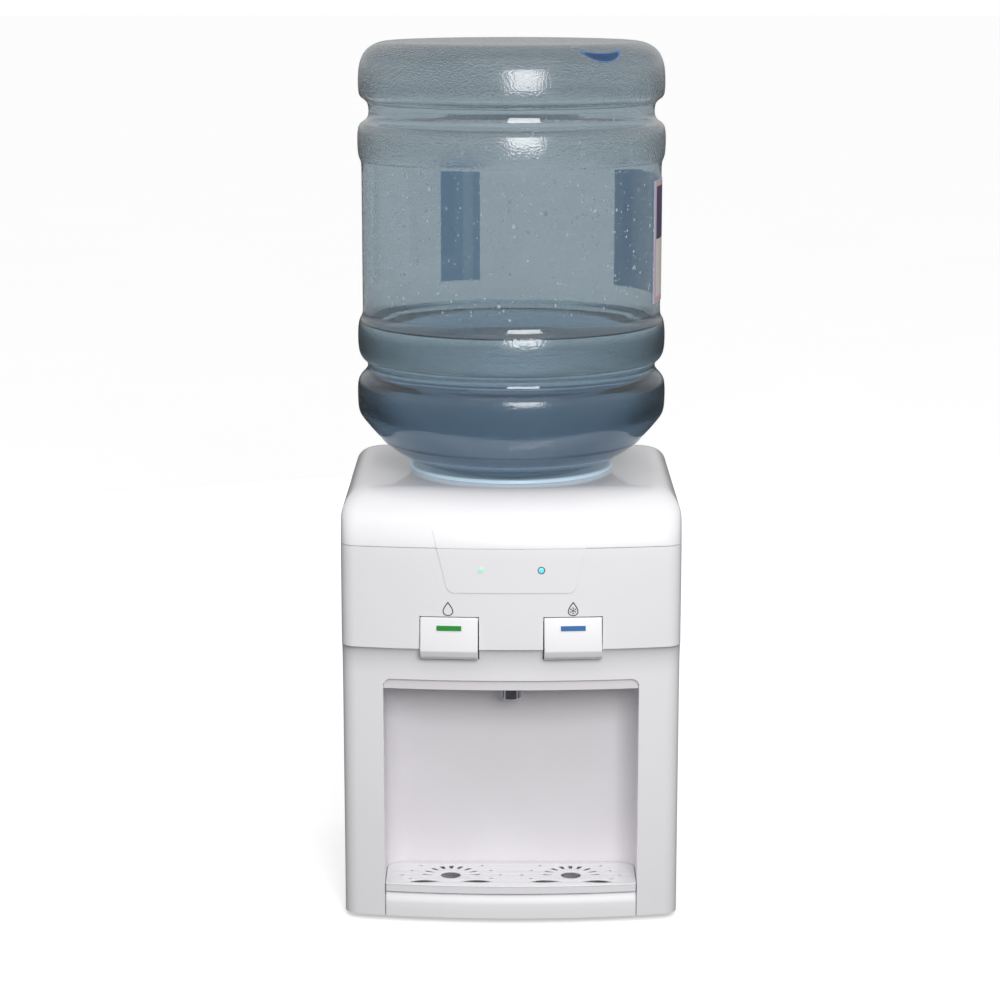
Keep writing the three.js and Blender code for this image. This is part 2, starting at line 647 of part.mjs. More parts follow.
function insulationJacket() {
  const { inner, outer, bottom, top } = JACKET;
  const ring = turned([[inner, bottom], [outer, bottom], [outer, top], [inner, top], [inner, bottom]], 24);
  const blockWindow = box(-21, 21, 30, 80, COOLER_Z - 22, COOLER_Z + 22);
  const coldHole = rodY(BARB.r + 1, BARB.x, BARB.coldZ, -80, -20, 8);
  const ambientHole = rodY(BARB.r + 1, -BARB.x, BARB.ambientZ, -80, -20, 8);
  return cut(ring, blockWindow, coldHole, ambientHole);
}

function feedTube(side, barbZ) {
  const start = [side * BARB.x, BARB.endY - GAP, barbZ];
  return tube([
    start,
    [start[0], start[1] - 8, barbZ],
    [side * (BARB.x + 5), -82, (barbZ + 250) / 2],
    frontPoint(0, -91, 250, side),
    frontPoint(0, -97 + GAP, 250, side),
  ], 4.6, 10);
}

function outletTube(side) {
  return tube([
    frontPoint(-side * (17 + GAP), STEM_Y, 243, side),
    frontPoint(-side * 24, STEM_Y, 243, side),
    [side * 13, -112, 243.5],
    [side * NOZZLE.outletX, NOZZLE.y, 237],
    [side * NOZZLE.outletX, NOZZLE.y, 231 + GAP],
  ], 3.4, 10);
}

function drainTube() {
  return tube([
    [0, 0, TANK.bottom - 12 - GAP], [0, 0, 165], [0, 16, 90],
    [0, 55, 40], [0, 92, DRAIN.z], [0, 105 - GAP, DRAIN.z],
  ], 5, 12);
}

function drainSpout() {
  const pipe = rodY(DRAIN.pipeR, 0, DRAIN.z, 105, 151);
  const flange = rodY(11, 0, DRAIN.z, 135.5, 138.5);
  const bore = rodY(DRAIN.pipeR - 2, 0, DRAIN.z, 104, 152, 10);
  return cut(union(pipe, flange), bore);
}

function drainSeal() {
  return rodY(7.2, 0, DRAIN.z, 151 + GAP, 152.6);
}

function drainCap() {
  const cup = rodY(DRAIN.capR, 0, DRAIN.z, 140.5, REAR_MOST);
  return cup.subtract(rodY(DRAIN.pipeR + 0.4, 0, DRAIN.z, 130, 152.9));
}

// ---------------------------------------------------------------- cooling and electrics
function coldBlock() {
  return cut(box(-20, 20, 45, 72, COOLER_Z - 20, COOLER_Z + 20), post(TANK.r + GAP, 0, 0, 150, 320, 24));
}

function peltierModule() {
  const plates = box(-20, 20, 72.3, 76.3, COOLER_Z - 20, COOLER_Z + 20);
  const lead = (x) => box(x - 1.5, x + 1.5, 73.4, 75.2, COOLER_Z - 34, COOLER_Z - 19);
  return union(plates, lead(-10.5), lead(10.5));
}

function heatSink() {
  let sink = box(-50, 50, 76.6, 82.6, COOLER_Z - 50, COOLER_Z + 50);
  const finCount = 15;
  for (let i = 0; i < finCount; i += 1) {
    const x = -48.5 + (i * 97) / (finCount - 1);
    sink = sink.add(box(x - 0.9, x + 0.9, 82, 105, COOLER_Z - 50, COOLER_Z + 50));
  }
  return sink;
}

function fanFrame() {
  const z = COOLER_Z;
  const frame = prismY(roundedRect(-46, 46, z - 46, z + 46, 5), 108, 133, 4);
  const bore = rodY(43, 0, z, 100, 140, 24);
  let fan = cut(frame, bore);
  fan = fan.add(rodY(15, 0, z, 130.3, 133, 12));
  fan = fan.add(box(-45, 45, 130.6, 132.8, z - 2, z + 2));
  fan = fan.add(box(-2, 2, 130.6, 132.8, z - 45, z + 45));
  for (const x of [-41, 41]) {
    for (const dz of [-41, 41]) fan = fan.subtract(rodY(2, x, z + dz, 100, 140, 6));
  }
  return fan;
}

function fanRotor() {
  let rotor = rodY(15.5, 0, COOLER_Z, 110, 130, 12);
  const bladeCount = 7;
  for (let i = 0; i < bladeCount; i += 1) {
    const geometry = new THREE.BoxGeometry(1.6, 21, 28);
    geometry.translate(0, 0, 28);
    geometry.rotateZ((38 * PI) / 180);
    geometry.rotateY((2 * PI * i) / bladeCount);
    geometry.translate(0, 119.5, COOLER_Z);
    rotor = rotor.add(solid(geometry));
  }
  return rotor.intersect(rodY(41.6, 0, COOLER_Z, 109, 130, 24));
}

function controlBoard() {
  const board = box(138, 139.6, -40, 50, 140, 210);
  const relay = box(122, 138.4, -30, -10, 150, 170);
  const capacitor = rodX(8, 20, 160, 118, 138.4, 10);
  const terminal = box(128, 138.4, -20, 30, 196, 206);
  return union(board, relay, capacitor, terminal);
}

function powerSupply() {
  let supply = box(-125, -40, -50, 50, 8.6, 46);
  for (let x = -110; x < -50; x += 14) {
    supply = supply.subtract(box(x, x + 7, -40, 40, 43, 50));
  }
  return supply;
}

function powerInlet() {
  const { x, z } = INLET;
  const flange = box(x - 16, x + 16, 150.3, 152.3, z - 13, z + 13);
  const housing = box(x - 13, x + 13, 128, 151, z - 10, z + 10);
  const mouth = box(x - 11, x + 11, 135, 160, z - 8, z + 8);
  const pin = (dx, dz) => box(x + dx - 1, x + dx + 1, 134, 146, z + dz - 2, z + dz + 2);
  const pins = [pin(-6, -2), pin(6, -2), pin(0, 4)];
  return union(cut(union(flange, housing), mouth), ...pins);
}

function switchHousing() {
  const { x, z } = SWITCH;
  const flange = box(x - 11, x + 11, 150.3, 151.8, z - 15, z + 15);
  const housing = box(x - 9.5, x + 9.5, 128, 151, z - 13.5, z + 13.5);
  return cut(union(flange, housing), box(x - 7.6, x + 7.6, 138, 160, z - 11.3, z + 11.3));
}

function switchRocker() {
  const geometry = new THREE.ExtrudeGeometry(
    shapeOf([[-4, 0], [-1, -8.6], [5.8, -9.6], [4.6, 0], [5.8, 9.6], [-1, 8.6]]),
    { depth: 14, bevelEnabled: false },
  );
  geometry.applyMatrix4(new THREE.Matrix4().set(0, 0, 1, 0, 1, 0, 0, 0, 0, 1, 0, 0, 0, 0, 0, 1));
  geometry.translate(-7, 0, 0);
  geometry.rotateX((9 * PI) / 180);
  geometry.translate(SWITCH.x, SWITCH.pivotY, SWITCH.z);
  return solid(geometry);
}

function rearScrew(x, z) {
  const head = rodY(3.6, x, z, 150.3, 152, 12);
  return union(head, rodY(1.7, x, z, 139, 150.6, 8));
}

// ---------------------------------------------------------------- materials
function finish(color, roughness, metalness = 0) {
  return () => new THREE.MeshStandardMaterial({ color, roughness, metalness });
}

const whiteAbs = finish(0xeae9ec, 0.32);
const linerPlastic = finish(0xd9d6da, 0.4);
const rubber = finish(0x2a2a2c, 0.85);
const paleBlue = finish(0xaac8d7, 0.35);
const tintedClear = finish(0x8fa6b2, 0.1);
const steel = finish(0xb8bcc0, 0.35, 1);
const chrome = finish(0xd0d3d6, 0.08, 1);
const aluminium = finish(0xc4c8cc, 0.4, 1);
const silicone = finish(0xe4e6e6, 0.5);
const foam = finish(0x4a4d50, 0.95);
const blackPlastic = finish(0x1d1e20, 0.45);
const board = finish(0x1f6a3c, 0.5);
const whitePart = finish(0xe6e6e4, 0.45);

// ---------------------------------------------------------------- assembly
const dispenser = new THREE.Group();

function add(name, body, material) {
  const geometry = body instanceof THREE.BufferGeometry ? body : geometryOf(body);
  const mesh = new THREE.Mesh(geometry, material());
  mesh.name = name;
  dispenser.add(mesh);
}

const SIDES = [['ambient', -1], ['cold', 1]];

add('base_plate', basePlate(), whitePart);
add('foot_front_left', foot(-120, -100), rubber);
add('foot_front_right', foot(120, -100), rubber);
add('foot_rear_left', foot(-120, 118), rubber);
add('foot_rear_right', foot(120, 118), rubber);
add('front_shell', frontShell(), whiteAbs);
add('left_side_panel', sidePanel(-1), whiteAbs);
add('right_side_panel', sidePanel(1), whiteAbs);
add('rear_panel', rearPanel(), whiteAbs);
add('top_cover', topCover(), whiteAbs);
add('recess_liner', recessLiner(), linerPlastic);
add('drip_tray', dripTray(), whiteAbs);
add('drip_grille', dripGrille(), whiteAbs);
add('spout_nozzle', spoutNozzle(), chrome);
add('led_board', ledBoard(), board);
add('led_power', ledLens(-1), finish(0x9fe8c0, 0.3));
add('led_cold', ledLens(1), finish(0x7fe6ea, 0.3));

for (const [name, side] of SIDES) {
  add(`button_${name}`, button(side), whiteAbs);
  add(`marker_${name}`, marker(side), finish(side < 0 ? 0x1a8a2a : 0x1e6aaa, 0.4));
  add(`valve_body_${name}`, valveBody(side), whitePart);
  add(`valve_stem_${name}`, valveStem(side), steel);
  add(`return_spring_${name}`, returnSpring(side), steel);
  add(`${name}_outlet_tube`, outletTube(side), silicone);
}

add('bottle', bottle(), tintedClear);
add('bottle_cap', bottleCap(), finish(0x3f7fc0, 0.4));
add('bottle_label', wrapLabel(69, 133.5), finish(0xd8c4cc, 0.5));
add('bottle_back_label', wrapLabel(193, 210), finish(0x8a9aa8, 0.5));
add('bottle_collar', bottleCollar(), paleBlue);

add('tank', tank(), steel);
add('tank_gasket', tankGasket(), silicone);
add('tank_lid', tankLid(), whitePart);
add('feed_probe', feedProbe(), paleBlue);
add('baffle', baffle(), whitePart);
add('insulation_jacket', insulationJacket(), foam);
add('cold_feed_tube', feedTube(1, BARB.coldZ), silicone);
add('ambient_feed_tube', feedTube(-1, BARB.ambientZ), silicone);
add('drain_tube', drainTube(), silicone);
add('drain_spout', drainSpout(), whitePart);
add('drain_seal', drainSeal(), rubber);
add('drain_cap', drainCap(), whiteAbs);

add('cold_block', coldBlock(), aluminium);
add('peltier_module', peltierModule(), finish(0xf0efe8, 0.6));
add('heat_sink', heatSink(), aluminium);
add('fan_frame', fanFrame(), blackPlastic);
add('fan_rotor', fanRotor(), blackPlastic);
add('control_board', controlBoard(), board);
add('power_supply', powerSupply(), steel);
add('power_inlet', powerInlet(), blackPlastic);
add('switch_housing', switchHousing(), blackPlastic);
add('switch_rocker', switchRocker(), finish(0xb02a22, 0.4));

let screwNumber = 0;
for (const x of [-REAR_SCREW.x, REAR_SCREW.x]) {
  for (const z of [REAR_SCREW.low, REAR_SCREW.high]) {
    screwNumber += 1;
    add(`rear_screw_${screwNumber}`, rearScrew(x, z), steel);
  }
}

export default dispenser;
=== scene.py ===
# Looks of a countertop water dispenser with its upturned bottle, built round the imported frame.
# Shapes are worked out in millimetres, +Z up, front facing -Y, and turned to metres in build().
import json
from math import pi

import bmesh
import bpy
import numpy as np
from mathutils import Euler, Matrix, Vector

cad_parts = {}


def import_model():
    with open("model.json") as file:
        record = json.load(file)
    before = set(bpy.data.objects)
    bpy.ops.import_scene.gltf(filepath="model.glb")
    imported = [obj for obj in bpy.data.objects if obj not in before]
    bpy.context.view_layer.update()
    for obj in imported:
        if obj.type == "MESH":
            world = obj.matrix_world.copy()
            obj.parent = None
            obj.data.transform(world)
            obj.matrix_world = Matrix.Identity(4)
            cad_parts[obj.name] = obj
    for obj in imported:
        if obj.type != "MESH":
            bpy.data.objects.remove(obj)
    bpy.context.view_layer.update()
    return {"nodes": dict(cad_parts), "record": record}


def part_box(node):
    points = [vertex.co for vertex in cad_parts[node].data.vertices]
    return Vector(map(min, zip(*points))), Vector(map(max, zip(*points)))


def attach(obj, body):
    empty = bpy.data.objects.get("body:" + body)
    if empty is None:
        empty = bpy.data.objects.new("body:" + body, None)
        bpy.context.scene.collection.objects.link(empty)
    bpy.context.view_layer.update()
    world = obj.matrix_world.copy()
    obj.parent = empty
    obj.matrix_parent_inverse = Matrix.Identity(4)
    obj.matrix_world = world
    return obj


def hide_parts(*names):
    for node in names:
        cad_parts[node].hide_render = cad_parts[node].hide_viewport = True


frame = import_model()
NODES = frame["nodes"]
MM = 0.001
SAME_POINT = 2e-6  # metres: points closer than this are joined
LIFT = 0.08  # how far a print stands proud, so that it never fights with the surface under it


def corners(node):
    """Lowest and highest corner of a CAD node, in millimetres."""
    low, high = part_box(node)
    return np.array(low) / MM, np.array(high) / MM


# ------------------------------------------------------------------ driving dimensions
CASE_HALF = corners("top_cover")[1][0]
CASE_BACK = corners("rear_panel")[1][1]
CASE_TOP = corners("top_cover")[1][2]
CASE_BOTTOM = corners("front_shell")[0][2]
SHELL_TOP = corners("left_side_panel")[1][2]
SEAM = SHELL_TOP + 0.3
FRONT_R = 812.0
FRONT_CENTRE = FRONT_R - CASE_BACK
CASE_CORNER = 15.0
SIDE_SHOULDER = 24.0
TOP_ROLL = 50.0
FASCIA_BOTTOM = 256.7
COVE_BOTTOM = 231.0
COVE_DEPTH = 8.0
WALL = 2.5
FRONT_SEAM = -118.0

RECESS_HALF = 113.5
RECESS_TOP = 226.3
RECESS_CORNER = 7.0
CEILING = 217.0
LINER_BACK = -75.0
LINER_CORNER = 18.0
LINER_FRONT = COVE_DEPTH + WALL + 0.3

TRAY_HALF = 112.9
TRAY_BACK = -75.6
TRAY_BOW = 20  # points along half of the tray's bowed front
SKIRT_BACK = 11.2
TARGET_X = 54.5
TARGET_Y = -112.0

PLATEAU_TOP = 364.0
PLATEAU_BOTTOM = 308.0
PLATEAU_HALF_TOP = 69.0
PLATEAU_HALF_BOTTOM = 55.5
PLATEAU_HEIGHT = 0.9
PLATEAU_CORNER = 5.5

LAMP_X = 26.4
LAMP_Z = 328.5

BUTTON_X = 54.3
BUTTON_HALF = 25.25
BUTTON_TOP = 285.5
BUTTON_BOTTOM = 247.5
BUTTON_TURN = np.arcsin(BUTTON_X / FRONT_R)
WINDOW = (BUTTON_HALF + 0.95, 245.7, 286.4)  # half width, bottom, top
PIVOT_Y = -143.5
PIVOT_Z = 283.0
PIVOT_R = 2.0
PIVOT_HALF = 29.0
LEVER_ENDS = (-149.0, -122.2)

NOZZLE_Y = (corners("spout_nozzle")[0][1] + corners("spout_nozzle")[1][1]) / 2
NOZZLE_BOTTOM = corners("spout_nozzle")[0][2]

FITTINGS_X = -70.0  # inlet and switch
INLET_Z = 45.0
SWITCH_Z = 86.0
DRAIN_Z = 30.0
VENT_Z = 235.0
SCREW_X = 112.0
SCREW_LEVELS = (22, 332)

BOTTLE_TOP = corners("bottle")[1][2]
NECK_BOTTOM = corners("bottle")[0][2]
BODY_R = 135.2
BOTTLE_WALL = 2.0
WATER_LEVEL = 528.0
COLLAR_HOLE = 86.8


# ------------------------------------------------------------------ shape functions
def arc(x, y, r, start, end, count):
    """Points on a circle about (x, y) from one angle to another."""
    a = np.linspace(start, end, count)
    return np.stack([x + r * np.cos(a), y + r * np.sin(a)], 1)


def circle(x, y, r, count):
    """Closed outline of a circle about (x, y)."""
    return arc(x, y, r, 0, 2 * pi, count + 1)[:-1]


def between(a, b, count):
    """Points spaced evenly on the straight line from a to b."""
    t = np.linspace(0, 1, count)[:, None]
    return np.asarray(a) * (1 - t) + np.asarray(b) * t


def spread(*stops):
    """Values from stop to stop: each (value, steps) pair is reached in that many equal steps."""
    values = [stops[0][0]]
    for value, steps in stops[1:]:
        values.extend(np.linspace(values[-1], value, steps + 1)[1:])
    return np.array(values)


def fillet(points, radius, steps=5, closed=False):
    """A polyline with every corner replaced by a quadratic curve that begins `radius` before the corner,
    or half-way along a shorter side, and ends as far after it."""
    p = np.asarray(points, float)

    def towards(other):
        step = other - p
        length = np.maximum(np.linalg.norm(step, axis=1, keepdims=True), 1e-9)
        return p + step / length * np.minimum(radius, length / 2)

    a = towards(np.roll(p, 1, 0))[:, None]
    b = towards(np.roll(p, -1, 0))[:, None]
    t = np.linspace(0, 1, steps)[None, :, None]
    curve = (1 - t) ** 2 * a + 2 * t * (1 - t) * p[:, None] + t**2 * b
    if closed:
        line = curve.reshape(-1, p.shape[1])
    else:
        line = np.concatenate([p[:1], curve[1:-1].reshape(-1, p.shape[1]), p[-1:]])
    apart = np.linalg.norm(np.diff(line, axis=0), axis=1) > 1e-5
    return line[np.concatenate([[True], apart])]


def offset(profile, distance):
    """A profile moved sideways by `distance` along its normals, which are its tangents turned a quarter."""
    tangent = np.gradient(profile, axis=0)
    tangent /= np.maximum(np.linalg.norm(tangent, axis=1, keepdims=True), 1e-9)
    return profile + distance * np.stack([-tangent[:, 1], tangent[:, 0]], 1)


def at_height(points, z):
    """Plan points given a height, as rows of x, y and z."""
    points = np.asarray(points)
    return np.concatenate([points, np.full((len(points), 1), float(z))], 1)


def lathe(profile, sides=96, flutes=0, depth=0.0):
    """Every (radius, z) pair turned about the Z axis; flutes add a cosine of that depth to the radius."""
    a = np.linspace(0, 2 * pi, sides, endpoint=False)[None, :]
    profile = np.asarray(profile, float)
    r = profile[:, :1] * (1 + depth * np.cos(flutes * a))
    z = np.broadcast_to(profile[:, 1:], r.shape)
    return np.stack([r * np.cos(a), r * np.sin(a), z], 2)


def along_y(rings):
    """A lathe about Z laid down so that its axis runs along Y and its height becomes y."""
    return np.stack([rings[..., 0], rings[..., 2], rings[..., 1]], -1)


def roll(z, start, r):
    """How far a quarter-round of radius r that starts at height `start` has come in at height z."""
    rise = np.clip(z - start, 0, r)
    return r - np.sqrt(r * r - rise * rise)


def set_back(z):
    """How far the front stands back at height z: the frame, a quarter-ellipse cove, the fascia, the roll."""
    t = np.clip((z - COVE_BOTTOM) / (FASCIA_BOTTOM - COVE_BOTTOM), 0, 1)
    cove = COVE_DEPTH * np.sqrt(1 - t * t)
    return np.where(z < FASCIA_BOTTOM, cove, roll(z, CASE_TOP - TOP_ROLL, TOP_ROLL))


def bowed_half(half, front, back, front_corner, back_corner, bow=24, turn=8, side=10, rear=10):
    """Right half of a plan outline, from the middle of the front to the middle of the back: an arc about a
    centre far behind, a round corner, a straight side, a round corner and a straight back."""
    r = FRONT_R - front
    x = half - front_corner
    y = FRONT_CENTRE - np.sqrt((r - front_corner) ** 2 - x**2)
    sweep = np.arctan2(x, FRONT_CENTRE - y)
    bow_line = arc(0, FRONT_CENTRE, r, -pi / 2, -pi / 2 + sweep, bow)
    near = arc(x, y, front_corner, -pi / 2 + sweep, 0, turn)
    far = arc(half - back_corner, back - back_corner, back_corner, 0, pi / 2, turn)
    parts = [bow_line, near[1:], between(near[-1], far[0], side)[1:], far[1:]]
    return np.concatenate(parts + [between(far[-1], (0, back), rear)[1:]])


def mirrored(half_outline):
    """A whole closed outline from its right half, which starts and ends on the middle line."""
    left = half_outline[::-1][1:-1] * (-1, 1)
    return np.concatenate([half_outline, left])


def case_plan(z, inset=0.0):
    """Plan outline of the case at height z."""
    side = CASE_HALF - roll(z, CASE_TOP - SIDE_SHOULDER, SIDE_SHOULDER) - inset
    back = CASE_BACK - roll(z, CASE_TOP - TOP_ROLL, TOP_ROLL) - inset
    return mirrored(bowed_half(side, set_back(z) + inset, back, CASE_CORNER, CASE_CORNER))


def front_y(x, back_from_front):
    """Where the bowed front is at x when it stands back by that much."""
    return FRONT_CENTRE - np.sqrt((FRONT_R - back_from_front) ** 2 - np.asarray(x) ** 2)


def turned_to_front(points, side):
    """Points drawn round x = 0, turned about the centre of the front's bow to where a button sits."""
    a = side * BUTTON_TURN
    y = points[..., 1] - FRONT_CENTRE
    x = points[..., 0] * np.cos(a) - y * np.sin(a)
    return np.stack([x, points[..., 0] * np.sin(a) + y * np.cos(a) + FRONT_CENTRE, points[..., 2]], -1)


# ------------------------------------------------------------------ mesh making
def quads(rows, columns, closed):
    """Faces of a grid of points, joined round from its last column to its first where closed."""
    index = np.arange(rows * columns).reshape(rows, columns)
    if closed:
        index = np.concatenate([index, index[:, :1]], 1)
    return np.stack([index[:-1, :-1], index[:-1, 1:], index[1:, 1:], index[1:, :-1]], -1).reshape(-1, 4)


class Skin:
    """Gathers grids and flat faces of one piece before they become its mesh."""

    def __init__(self):
        self.points = []
        self.faces = []
        self.count = 0

    def grid(self, points, closed=False, keep=None, flip=False):
        """A grid of points; keep marks the cells that stay."""
        rows, columns = points.shape[:2]
        faces = quads(rows, columns, closed)
        if keep is not None:
            faces = faces[keep.reshape(-1)]
        if flip:
            faces = faces[:, ::-1]
        self.points.append(points.reshape(-1, 3))
        self.faces.extend((faces + self.count).tolist())
        self.count += rows * columns
        return self

    def loose(self, points, faces):
        """Points and faces as they come."""
        self.points.append(points)
        self.faces.extend([[corner + self.count for corner in face] for face in faces])
        self.count += len(points)
        return self

    def cap(self, ring, flip=False):
        """One flat face over a ring of points."""
        index = list(range(self.count, self.count + len(ring)))
        self.points.append(np.asarray(ring, float))
        self.faces.append(index[::-1] if flip else index)
        self.count += len(ring)
        return self

    def bar(self, rings):
        """A closed body through rings of points, with its first and last ring covered."""
        return self.grid(rings, closed=True).cap(rings[0], flip=True).cap(rings[-1])


def solid_of(rings):
    """A skin that holds one such closed body."""
    return Skin().bar(rings)


def modifier(piece, kind, **settings):
    """Adds a modifier with its settings."""
    made = piece.modifiers.new(kind.lower(), kind)
    for key, value in settings.items():
        setattr(made, key, value)


def piece_of(name, points, faces, smooth, clean=None):
    """A smooth-shaded object whose edges are sharp above an angle. Its points are in metres; doubled ones
    are joined, and clean does more to the mesh."""
    mesh = bpy.data.meshes.new(name)
    mesh.from_pydata(points.tolist(), [], faces)
    work = bmesh.new()
    work.from_mesh(mesh)
    bmesh.ops.remove_doubles(work, verts=work.verts, dist=SAME_POINT)
    if clean:
        clean(work)
    work.to_mesh(mesh)
    work.free()
    mesh.shade_smooth()
    mesh.set_sharp_from_angle(angle=np.radians(smooth))
    piece = bpy.data.objects.new(name, mesh)
    bpy.context.scene.collection.objects.link(piece)
    return piece


def outwards(work):
    """Turns the faces of a closed body outwards."""
    bmesh.ops.recalc_face_normals(work, faces=work.faces)


def merged_flats(work):
    """Joins triangles that lie in one plane."""
    bmesh.ops.dissolve_limit(work, angle_limit=np.radians(0.5), verts=work.verts, edges=work.edges)


def finished(piece, body, finish, replaces):
    """Gives a piece its materials, lets it ride on its body and says which CAD nodes it stands for."""
    for material in finish if isinstance(finish, (list, tuple)) else [finish]:
        piece.data.materials.append(material)
    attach(piece, body)
    if replaces:
        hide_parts(*replaces)
    return piece


def build(name, skin, body, slot, finish, replaces=(), closed=True, wall=0.0, edge=0.0, smooth=38, steps=2):
    """Makes a piece from a skin: a closed body's faces are turned outwards, an open skin gets its wall
    inwards, and the edges a rounding."""
    points = np.concatenate(skin.points) * MM
    piece = piece_of(name, points, skin.faces, smooth, outwards if closed else None)
    if wall:
        modifier(piece, "SOLIDIFY", thickness=wall * MM, offset=-1, use_even_offset=True)
    if edge:
        modifier(piece, "BEVEL", width=edge * MM, segments=steps, limit_method="ANGLE",
                 angle_limit=np.radians(smooth), harden_normals=True, miter_outer="MITER_ARC")
    return finished(piece, body, finish, replaces)


def rounded_copy(node, body, finish, edge):
    """A CAD node's own shape as a finished piece: its triangles joined, flat areas merged, edges rounded."""
    source = NODES[node].data
    points = np.empty(len(source.vertices) * 3)
    source.vertices.foreach_get("co", points)
    triangles = np.empty(len(source.polygons) * 3, int)
    source.polygons.foreach_get("vertices", triangles)
    triangles = triangles.reshape(-1, 3).tolist()
    piece = piece_of(node + "_finished", points.reshape(-1, 3), triangles, 32, merged_flats)
    modifier(piece, "BEVEL", width=edge * MM, segments=2, limit_method="ANGLE", angle_limit=np.radians(32),
             harden_normals=True)
    return finished(piece, body, finish, [node])


# ------------------------------------------------------------------ materials
def linear(code, alpha=1.0):
    """A linear colour from an sRGB hex code."""
    value = np.array([int(code[i : i + 2], 16) / 255 for i in (1, 3, 5)])
    value = np.where(value <= 0.04045, value / 12.92, ((value + 0.055) / 1.055) ** 2.4)
    return (*value.tolist(), alpha)


def add(tree, kind, settings=None, **inputs):
    """Adds a node. Inputs are given by socket name with _ for a space, or as i0, i1 by number: a socket is
    linked, anything else is set as the value."""
    made = tree.nodes.new("ShaderNode" + kind)
    for key, value in (settings or {}).items():
        setattr(made, key, value)
    for key, value in inputs.items():
        numbered = key[0] == "i" and key[1:].isdigit()
        socket = made.inputs[int(key[1:]) if numbered else key.replace("_", " ")]
        if isinstance(value, bpy.types.NodeSocket):
            tree.links.new(value, socket)
        else:
            socket.default_value = value
    return made


def per_mm(size):
    """Texture scale, in cells per metre, for a pattern whose grain is this many millimetres."""
    return 1 / (size * MM)


def surface(name, **constants):
    """An empty material: its node tree, its shader with the constants set, and its Object coordinates."""
    material = bpy.data.materials.new(name)
    material.use_nodes = True
    tree = material.node_tree
    tree.nodes.clear()
    shader = add(tree, "BsdfPrincipled", **constants)
    output = add(tree, "OutputMaterial")
    tree.links.new(shader.outputs["BSDF"], output.inputs["Surface"])
    place = add(tree, "TexCoord").outputs["Object"]
    return material, tree, shader, place


def ramp_of(tree, value, *stops, hard=False):
    """A colour ramp through (position, linear colour) stops, which jumps at each of them where hard."""
    made = add(tree, "ValToRGB", Fac=value)
    made.color_ramp.interpolation = "CONSTANT" if hard else "LINEAR"
    elements = made.color_ramp.elements
    for number, (position, colour) in enumerate(stops):
        stop = elements[number] if number < 2 else elements.new(position)
        stop.position = position
        stop.color = colour
    return made.outputs["Color"]


def mottled(tree, shader, place, light, dark, patch, rough, swing):
    """Slow change of colour and roughness over patches of the given size in millimetres."""
    cloud = add(tree, "TexNoise", Vector=place, Scale=per_mm(patch), Detail=3.0)
    tint = add(tree, "Mix", {"data_type": "RGBA"}, Factor=cloud.outputs["Fac"])
    tint.inputs[6].default_value = linear(light)
    tint.inputs[7].default_value = linear(dark)
    tree.links.new(tint.outputs[2], shader.inputs["Base Color"])
    sheen = add(tree, "MapRange", Value=cloud.outputs["Fac"], i3=rough - swing, i4=rough + swing)
    tree.links.new(sheen.outputs["Result"], shader.inputs["Roughness"])


def grained(tree, shader, place, grain, height, strength=0.3):
    """A fine even grain, as spark-eroded mould steel leaves it."""
    noise = add(tree, "TexNoise", Vector=place, Scale=per_mm(grain), Detail=2.0)
    bump = add(tree, "Bump", Height=noise.outputs["Fac"], Strength=strength, Distance=height * MM)
    tree.links.new(bump.outputs["Normal"], shader.inputs["Normal"])


def moulded(name, light, dark, rough, grain=0.9, height=0.012, patch=60, swing=0.03, **constants):
    """Moulded plastic: an even colour with slow clouding, and the mould's fine grain."""
    material, tree, shader, place = surface(name, IOR=1.5, **constants)
    mottled(tree, shader, place, light, dark, patch, rough, swing)
    grained(tree, shader, place, grain, height)
    return material


def white_abs():
    """Polished-mould ABS: clean cool white, whose thin gloss carries the lamps as crisp pale strips."""
    return moulded("white_abs_polished", "#F1F0F3", "#ECEBEE", 0.32, height=0.006, Coat_Weight=0.6,
                   Coat_Roughness=0.05)


def tray_abs():
    """The tray's satin white ABS; where its surface faces up, as on the floor of its basin, it turns dull
    grey: painted shade, so that the basin reads dark through the grille's slots.
    """
    material = moulded("white_abs_satin_tray_painted_basin_shade", "#F1F0F3", "#ECEBEE", 0.45, height=0.006)
    tree = material.node_tree
    shader = tree.nodes["Principled BSDF"]
    painted_shade_facing = add(tree, "SeparateXYZ", Vector=add(tree, "NewGeometry").outputs["True Normal"])
    level = add(tree, "MapRange", Value=painted_shade_facing.outputs["Z"], i1=0.9, i2=0.97)
    blend = add(tree, "Mix", {"data_type": "RGBA"}, Factor=level.outputs["Result"])
    tree.links.new(shader.inputs["Base Color"].links[0].from_socket, blend.inputs[6])
    # Painted shade: this grey stands for the shade in the basin under the grille.
    blend.inputs[7].default_value = linear("#6B6A6E")
    tree.links.new(blend.outputs[2], shader.inputs["Base Color"])
    return material


def liner_abs():
    """Satin ABS of the cup recess: a shade greyer and duller than the case."""
    return moulded("pale_grey_abs_satin", "#E6E3E7", "#DFDCE0", 0.38, height=0.02)


def rubber():
    """Moulded rubber: near black and dull, with a powdery bloom."""
    return moulded("black_rubber_moulded", "#2B2B2D", "#3A3A3D", 0.82, grain=0.6, height=0.04, patch=8)


def pale_blue_pp():
    """Moulded polypropylene, white in itself. Its pale blue is painted light, the blue cast the bottle
    throws on it, and its faint emission is a painted glow that makes its edges look lit; a little light
    passes into it.
    """
    # Painted light: the pale blue tint and the emission stand for light from the bottle.
    return moulded("white_polypropylene_painted_bottle_light", "#B9CFDD", "#ADC6D6", 0.3, Subsurface_Weight=0.3,
                   Subsurface_Scale=0.006, Emission_Strength=0.2, Emission_Color=linear("#B4CBDA"))


def cap_blue():
    """Moulded polyethylene: waxy mid blue."""
    return moulded("blue_polyethylene_waxy", "#3F80BE", "#3773AE", 0.45, Subsurface_Weight=0.15,
                   Subsurface_Scale=0.003)


